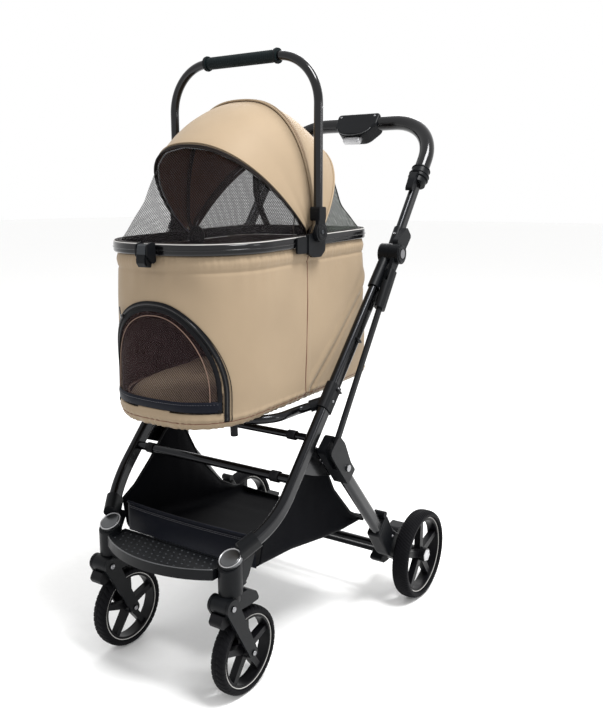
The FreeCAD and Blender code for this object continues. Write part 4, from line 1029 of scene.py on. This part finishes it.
def basket_point(share, y, top, low, end):
    """A point across the basket, from its left hem at -1 over the floor to its right hem at 1."""
    side = abs(share)
    flat = BASKET_HALF - BASKET_CORNER
    if side > 0.45:
        up = (side - 0.45) / 0.55
        z = low + BASKET_CORNER + (top - low - BASKET_CORNER) * up
        x = BASKET_HALF + 8 * up - 7 * math.sin(math.pi * up) * end
        crumple = noise.noise(Vector((y / 34, z / 60, 1.0 if share > 0 else 5.0)))
        x += 1.3 * crumple * math.sin(math.pi * up)
    elif side > 0.36:
        turn = (side - 0.36) / 0.09 * math.pi / 2
        x = flat + BASKET_CORNER * math.sin(turn)
        z = low + BASKET_CORNER - BASKET_CORNER * math.cos(turn)
    else:
        x = flat * side / 0.36
        z = low - 9 * end * (1 - (side / 0.36) ** 2) + 1.6 * noise.noise(Vector((share * 6, y / 40, 2.5)))
    return at(math.copysign(x, share), y, z)


def band_point(across, out, z):
    """A point on the front band, which bows forward and dips in the middle."""
    return at(BAND_HALF * across, out - 2.5 * math.cos(across * math.pi / 2), z)


def band_dip(across):
    return 2.5 * (1 - across * across)


def spread(count, reach=1.0):
    """Shares from -reach to reach."""
    return [reach * (-1 + 2 * k / (count - 1)) for k in range(count)]


def basket():
    """A sagging cloth tray with tall side panels, a navy front band and a hemmed edge."""
    rows, columns = 90, 96
    verts = []
    for r in range(rows):
        y = -272 + 362 * r / (rows - 1)
        top = float(np.interp(y, *zip(*BASKET_TOP)))
        low = float(np.interp(y, *zip(*BASKET_FLOOR)))
        end = math.sin(math.pi * r / (rows - 1))
        verts += [basket_point(share, y, top, low, end) for share in spread(columns)]
    obj = piece("basket_cloth", verts, grid_faces(rows, columns), "black_cloth", "frame", ["basket"],
                "basket_fabric")
    thickened(obj, 0.0014)
    pieces_on = [tube("basket_hem_left", verts[::columns], 0.0024, "tape", "frame"),
                 tube("basket_hem_right", verts[columns - 1::columns], 0.0024, "tape", "frame")]
    band = []
    rows_band = 14
    for r in range(rows_band):
        share = r / (rows_band - 1)
        for across in spread(60):
            z = BAND_LOW + (BAND_HIGH - BAND_LOW - band_dip(across)) * share
            out = -273 - 1.5 * math.sin(math.pi * share)
            out += 0.9 * noise.noise(Vector((BAND_HALF * across / 40, z / 30, 9)))
            band.append(band_point(across, out, z))
    band = piece("basket_band", band, grid_faces(rows_band, 60), "navy", "frame")
    thickened(band, 0.0018)
    pieces_on.append(band)
    hem = [band_point(across, -274.6, BAND_HIGH - band_dip(across)) for across in spread(60)]
    pieces_on.append(tube("basket_band_hem", hem, 0.0022, "navy", "frame"))
    stitches = []
    for drop in (6.5, 9.5):
        for across in spread(80, 0.97):
            middle = band_point(across, -276, BAND_HIGH - band_dip(across) - drop)
            stitches.append(stitch(middle, 0.0013, 0.00035))
    pieces_on.append(merged("basket_stitches", stitches, "thread", "frame"))
    low_band = []
    for r in range(6):
        for across in spread(60):
            z = 187 + 14 * r / 5 - 7 * (1 - across ** 2)
            low_band.append(at(160 * across, 91 + 0.6 * math.sin(9 * across), z))
    back = piece("basket_rear_band", low_band, grid_faces(6, 60), "black_cloth", "frame")
    thickened(back, 0.0016)
    pieces_on.append(back)
    for name, y, z, rod_radius in (("lower", -207.5, 370, 8), ("upper", -155, 433, 6.5)):
        for sign, side in SIDES:
            centre = at(sign * 150, y, z)
            loop = circle(centre, (rod_radius + 1.6) / 1000, Vector((0, 1, 0)), Vector((0, 0, 1)), 24)
            normals = [(p - centre).normalized() for p in loop]
            strip(f"rod_loop_{name}_{side}", loop, normals, 0.018, 0.0014, "tape", "frame", closed=True)


# ---------------------------------------------------------------- wheels

def tyre_mesh(name, body, x, y, radius, seat, width, steps, groove, stands_for):
    """A tyre with rounded shoulders and moulded tread grooves."""
    half = width / 2
    profile = []
    for k in range(25):
        angle = math.pi * k / 24
        across = -half * math.cos(angle)
        crown = math.sin(angle) ** 0.42
        profile.append((across, seat + 1.0 + (radius - seat - 1.0) * crown))
    profile = [(-half * 0.8, seat - 0.2)] + profile + [(half * 0.8, seat - 0.2)]
    verts = []
    for s in range(steps):
        angle = 2 * math.pi * s / steps
        for across, out in profile:
            depth = 0.0
            if out > seat + 0.55 * (radius - seat):
                depth = groove(angle, across / half)
            r = out - depth
            verts.append(at(x + across, y + r * math.sin(angle), radius + r * math.cos(angle)))
    faces = grid_faces(steps, len(profile), True, True)
    return piece(name, verts, faces, "tyre", body, [stands_for], "tyre_rubber")


def chevron(angle, across):
    """Front tread: rows of chevron blocks with a groove down the middle."""
    phase = (angle * 44 / (2 * math.pi) * 2 + abs(across) * 1.8) % 2
    depth = 1.1 if phase < 0.55 else 0.0
    if abs(across) < 0.08:
        depth = 1.2
    return depth


def ribs(angle, across):
    """Rear tread: fine slanting ribs with a smooth middle line."""
    phase = (angle * 93 / (2 * math.pi) * 2 + across * 3.2) % 2
    depth = 0.9 if phase < 0.8 else 0.0
    if abs(across) < 0.1:
        depth = 0.3
    return depth


def ring_strip(name, body, x, y, z, radius, wide, thick, look, outward_sign):
    """A flat ring on a wheel's outer face."""
    path = circle(at(x, y, z), radius / 1000, Vector((0, 0, 1)), Vector((0, 1, 0)), 72)
    normals = [Vector((outward_sign, 0, 0))] * len(path)
    return strip(name, path, normals, wide / 1000, thick / 1000, look, body, closed=True)


# x and y of the centre, tyre radius, seat radius and width, steps round the tread, tread,
# then radius and width of the pale ring and of the step inside it
WHEELS = {
    "front": (CASTER_X, FRONT_AXLE_Y, FRONT_RADIUS, 66, 28, 528, chevron, (64.2, 1.7), (60.2, 2.4)),
    "rear": (REAR_WHEEL_X, REAR_AXLE_Y, REAR_RADIUS, 82, 35, 744, ribs, (80.0, 2.0), (75.4, 2.6)),
}


def wheels():
    for sign, side in SIDES:
        for end, (x, y, radius, seat, width, steps, tread, ring, inner) in WHEELS.items():
            body = f"{end}_wheel_{side}"
            tyre_mesh(f"tyre_{end}_{side}", body, sign * x, y, radius, seat, width, steps, tread,
                      f"{end}_tyre_{side}")
            for face in (1, -1):
                tag = "out" if face == sign else "in"
                ring_strip(f"{end}_ring_{side}_{tag}", body, sign * x + face * 11.2, y, radius, *ring, 0.9,
                           "white_line", face)
                ring_strip(f"{end}_step_{side}_{tag}", body, sign * x + face * 11.0, y, radius, *inner, 1.2,
                           "rim", face)
        profile = [(-0.001, 0.0135), (0.0012, 0.0138), (0.0028, 0.0124), (0.0034, 0.0092), (0.0024, 0.0084),
                   (0.0024, 0.001)]
        cap = turned_solid(profile, (sign, 0, 0), at(sign * (REAR_WHEEL_X + 18.6), REAR_AXLE_Y, REAR_RADIUS), 6)
        piece(f"rear_hub_cap_{side}", *cap, "silver", f"rear_wheel_{side}", smooth=False)
        profile = [(0, 0.0098), (0.0016, 0.0098), (0.0022, 0.0088), (0.0024, 0.002)]
        hub = [turned_solid(profile, (face, 0, 0),
                            at(sign * CASTER_X + face * 15.4, FRONT_AXLE_Y, FRONT_RADIUS), 30)
               for face in (1, -1)]
        merged(f"front_hub_cap_{side}", hub, "plastic_grey", f"front_wheel_{side}")


# ---------------------------------------------------------------- frame details

HANDLE_SLOPE = math.radians(53.5)
HANDLE_FACE = Vector((0, -math.sin(HANDLE_SLOPE), math.cos(HANDLE_SLOPE)))
BAR_FOOT_Y, BAR_FOOT_Z = 204, 838
TUBE_TOP_Y, TUBE_TOP_Z = 103, 717
TUBE_LOW_Y, TUBE_LOW_Z = -261, 311
TUBE_RISE = (TUBE_TOP_Z - TUBE_LOW_Z) / (TUBE_TOP_Y - TUBE_LOW_Y)


def on_handle(x, up, out=0.0):
    """A point up the push bar's slope from its foot, and out from its upper face."""
    return (x, BAR_FOOT_Y + up * math.cos(HANDLE_SLOPE) - out * math.sin(HANDLE_SLOPE),
            BAR_FOOT_Z + up * math.sin(HANDLE_SLOPE) + out * math.cos(HANDLE_SLOPE))


def on_tube(x, y):
    """A point beside the main tube's straight run, level with its middle at a given y."""
    return (x, y, TUBE_TOP_Z + (y - TUBE_TOP_Y) * TUBE_RISE)


def footplate_details():
    dots = []
    for r in range(5):
        y = -374 + 13 * r
        half = int((118 - max(0, (-y - 345)) * 1.5) // 14)
        for c in range(-half, half + 1):
            x = c * 14 + (7 if r % 2 else 0)
            if abs(x) > 112:
                continue
            dots.append(turned_solid([(-0.0004, 0.0019), (0.0003, 0.0018), (0.0008, 0.0011), (0.001, 0.0002)],
                                     (0, 0, 1), at(x, y, 242), 12))
    merged("footplate_dots", dots, "plastic_grey", "frame")
    front_y, half, depth = -390.3, 124.4, 37.5
    radius = (half ** 2 + depth ** 2) / (2 * depth)
    lip = [at(radius * math.sin(angle), front_y + radius * (1 - math.cos(angle)), 243.7)
           for angle in spread(61, math.asin(half / radius))]
    # The lip tube is a grey metal strip along the footplate's front edge that paints in the edge's bright
    # highlight.
    tube("footplate_lip_painted_highlight", lip, 0.0012, "cap", "frame")
    tube("footplate_edge", [p - Vector((0, 0, 0.0175)) for p in lip], 0.0011, "plastic", "frame")


def caster_cap_details():
    """The ring and the disc on each tilted cap."""
    tilt = math.radians(CAP_TILT)
    up = Vector((0, -math.sin(tilt), math.cos(tilt)))
    ring = [(-0.0006, 0.0201), (0.0005, 0.0205), (0.0009, 0.0194), (0.0007, 0.0182), (-0.0006, 0.018)]
    face = [(-0.0005, 0.0172), (0.0005, 0.017), (0.001, 0.0154), (0.001, 0.0004)]
    for name, profile, look in (("cap_rings", ring, "silver"), ("cap_faces", face, "cap")):
        tops = [turned_solid(profile, up, at(sign * CASTER_X, CAP_Y, CAP_Z), 48) for sign, _ in SIDES]
        merged(name, tops, look, "frame")


def frame_details():
    """Screws, rivets, clips and vents on the tubes, brackets, rear housings, knuckles and forks."""
    heads = [(*on_tube(sign * x, y), (sign, 0, 0), 2.6)
             for sign, _ in SIDES for x, y in ((201.2, -100), (201.2, -82), (200.9, 70), (200.9, 92))]
    screws("tube_screws", "frame", heads)
    clips = []
    for sign, _ in SIDES:
        for y, z in ((-8.5, 591), (-79, 506)):
            path = [at(sign * (199 + 0.6 * k), y + 8 - 3.2 * k, z - 6 + 2.0 * k) for k in range(6)]
            clips.append(sweep(path, section_ring(0.0035, 10, 0.7)))
    merged("tube_clips", clips, "plastic", "frame")
    heads = [(sign * 190.4, y, z, (sign, 0, 0), 1.5)
             for sign, _ in SIDES for y, z in ((-126, 386), (-117, 378), (-108, 371))]
    screws("bracket_rivets", "frame", heads)
    heads = [(sign * 217.0, y, z, (sign, 0, 0), 3.0)
             for sign, _ in SIDES for y, z in ((116, 158), (170, 118))]
    screws("housing_screws", "rear_frame", heads)
    vents = []
    for sign, _ in SIDES:
        for k in range(3):
            y, z = 138 + 7 * k, 124 - 5 * k
            path = [at(sign * 217.1, y - 7, z - 8), at(sign * 217.4, y, z), at(sign * 217.1, y + 7, z + 8)]
            vents.append(sweep(path, section_ring(0.0011, 8)))
    merged("housing_vents", vents, "plastic_grey", "rear_frame")
    screws("knuckle_screws", "handle",
           [(*on_handle(sign * 192, -80, 16.2), tuple(HANDLE_FACE), 2.8) for sign, _ in SIDES])
    disc = [(-0.0004, 0.0165), (0.0008, 0.0168), (0.0016, 0.0158), (0.0016, 0.0112), (0.0006, 0.0105),
            (0.0004, 0.0096)]
    discs = [turned_solid(disc, (sign, 0, 0), at(sign * 222, FOLD_Y, FOLD_Z), 48) for sign, _ in SIDES]
    merged("knuckle_caps", discs, "plastic", "handle")
    for sign, side in SIDES:
        heads = []
        for face in (1, -1):
            x = sign * CASTER_X + face * 23.6
            heads.append((x, -350, 183.5, (face, 0, 0), 5.0))
            heads.append((x, FRONT_AXLE_Y, FRONT_RADIUS, (face, 0, 0), 4.4))
        screws(f"fork_screws_{side}", f"fork_{side}", heads)


def handle_details():
    """Silver line, screws and pull tab on the release housing, and clips on the bar."""
    line = []
    for k in range(33):
        angle = math.pi * (0.08 + 0.84 * k / 32)
        x = 44 * math.cos(angle)
        up = 221 - 16 - 28.5 * math.sin(angle) ** 0.8
        line.append(at(*on_handle(x, up, 18.4)))
    tube("housing_line", line, 0.0008, "cap", "push_bar", normals=[HANDLE_FACE] * len(line))
    screws("housing_heads", "push_bar",
           [(*on_handle(sign * 43, 228, face * 18.6), tuple(HANDLE_FACE * face), 2.6)
            for sign, _ in SIDES for face in (1, -1)])
    tab = [(17 - 2.5 * (k / 11) ** 3, 176 - 13 * k / 11) for k in range(12)]
    verts = []
    for lift in (0.0, 1.3):
        for wide, up in tab:
            verts.append(at(*on_handle(-wide, up, 9.9 + lift)))
        for wide, up in reversed(tab):
            verts.append(at(*on_handle(wide, up, 9.9 + lift)))
    count = len(verts) // 2
    faces = [tuple(reversed(range(count))), tuple(range(count, 2 * count))]
    faces += [(k, (k + 1) % count, count + (k + 1) % count, count + k) for k in range(count)]
    piece("button_face", verts, faces, "silver", "fold_button", smooth=False)
    up = Vector((0, math.cos(HANDLE_SLOPE), math.sin(HANDLE_SLOPE)))
    collars = []
    across = Vector((1, 0, 0))
    for sign, _ in SIDES:
        for height, radius in ((66, 20.3), (74, 20.5), (88, 18.9)):
            centre = at(*on_handle(sign * 192, height))
            collars.append(bead(centre, radius / 1000, across, up.cross(across), 0.0011))
    merged("collar_beads", collars, "plastic", "push_bar")


def bail_details():
    """The grip's ribs and end rings, and the pivot caps."""
    forward, up = Vector((0, 1, 0)), Vector((0, 0, 1))
    rings = [bead(at(x, BAIL_Y, BAIL_GRIP_Z), 0.0126, forward, up, 0.0011) for x in (-79.6, 79.6)]
    merged("grip_rings", rings, "rubber", "bail")
    ribs_on_grip = [bead(at(x, BAIL_Y, BAIL_GRIP_Z), 0.0105, forward, up, 0.0006, 6, 32)
                    for x in spread(33, 68)]
    merged("grip_ribs", ribs_on_grip, "grip", "bail")
    cap = [(-0.0004, 0.0135), (0.001, 0.0135), (0.0018, 0.0122), (0.0018, 0.007), (0.0008, 0.0062),
           (0.0006, 0.0056)]
    caps = [turned_solid(cap, (sign, 0, 0), at(sign * 174, BAIL_Y, BAIL_FOOT_Z), 48) for sign, _ in SIDES]
    merged("bail_caps", caps, "plastic", "bail")
    screws("bail_screws", "bail",
           [(sign * 175.2, BAIL_Y, BAIL_FOOT_Z, (sign, 0, 0), 4.0) for sign, _ in SIDES], "plastic_grey")
    screws("bail_rivets", "bail", [(sign * 173.3, BAIL_Y, 1004, (sign, 0, 0), 1.8) for sign, _ in SIDES])


def latch_details():
    """The latch lever's two-tone face."""
    upper = [(-363.4, 778.4), (-365.6, 776), (-367.0, 769), (-367.6, 762)]
    lower = [(-367.7, 761), (-369.4, 754), (-369.0, 748), (-364.4, 741.5)]
    columns = (-9.4, -8.6, 0, 8.6, 9.4)
    for name, look, chain in (("latch_plate_upper", "plastic_grey", upper),
                              ("latch_plate_lower", "plastic", lower)):
        verts = []
        for depth in (0.0, 0.9):
            for y, z in chain:
                for x in columns:
                    edge = 0.5 if abs(x) > 9 else 0.0
                    verts.append(at(x, y - depth + edge, z))
        wide, rows = len(columns), len(chain)
        size = rows * wide
        faces = grid_faces(rows, wide)
        faces += [tuple(reversed(f)) for f in grid_faces(rows, wide, start=size)]
        border = [k for k in range(wide)] + [r * wide + wide - 1 for r in range(1, rows)]
        border += [(rows - 1) * wide + k for k in reversed(range(wide - 1))]
        border += [r * wide for r in reversed(range(1, rows - 1))]
        for k, a in enumerate(border):
            b = border[(k + 1) % len(border)]
            faces.append((a, b, b + size, a + size))
        recalculated(piece(name, verts, faces, look, "latch", smooth=False))


def recalculated(obj):
    """Makes a closed piece's faces point outward."""
    bm = bmesh.new()
    bm.from_mesh(obj.data)
    bmesh.ops.recalc_face_normals(bm, faces=bm.faces)
    bm.to_mesh(obj.data)
    bm.free()


# ---------------------------------------------------------------- build

add_camera()
add_studio()
dress_cad()
carrier_body()
carrier_trim()
door()
cushion()
canopy()
nets()
basket()
wheels()
footplate_details()
caster_cap_details()
frame_details()
handle_details()
bail_details()
latch_details()
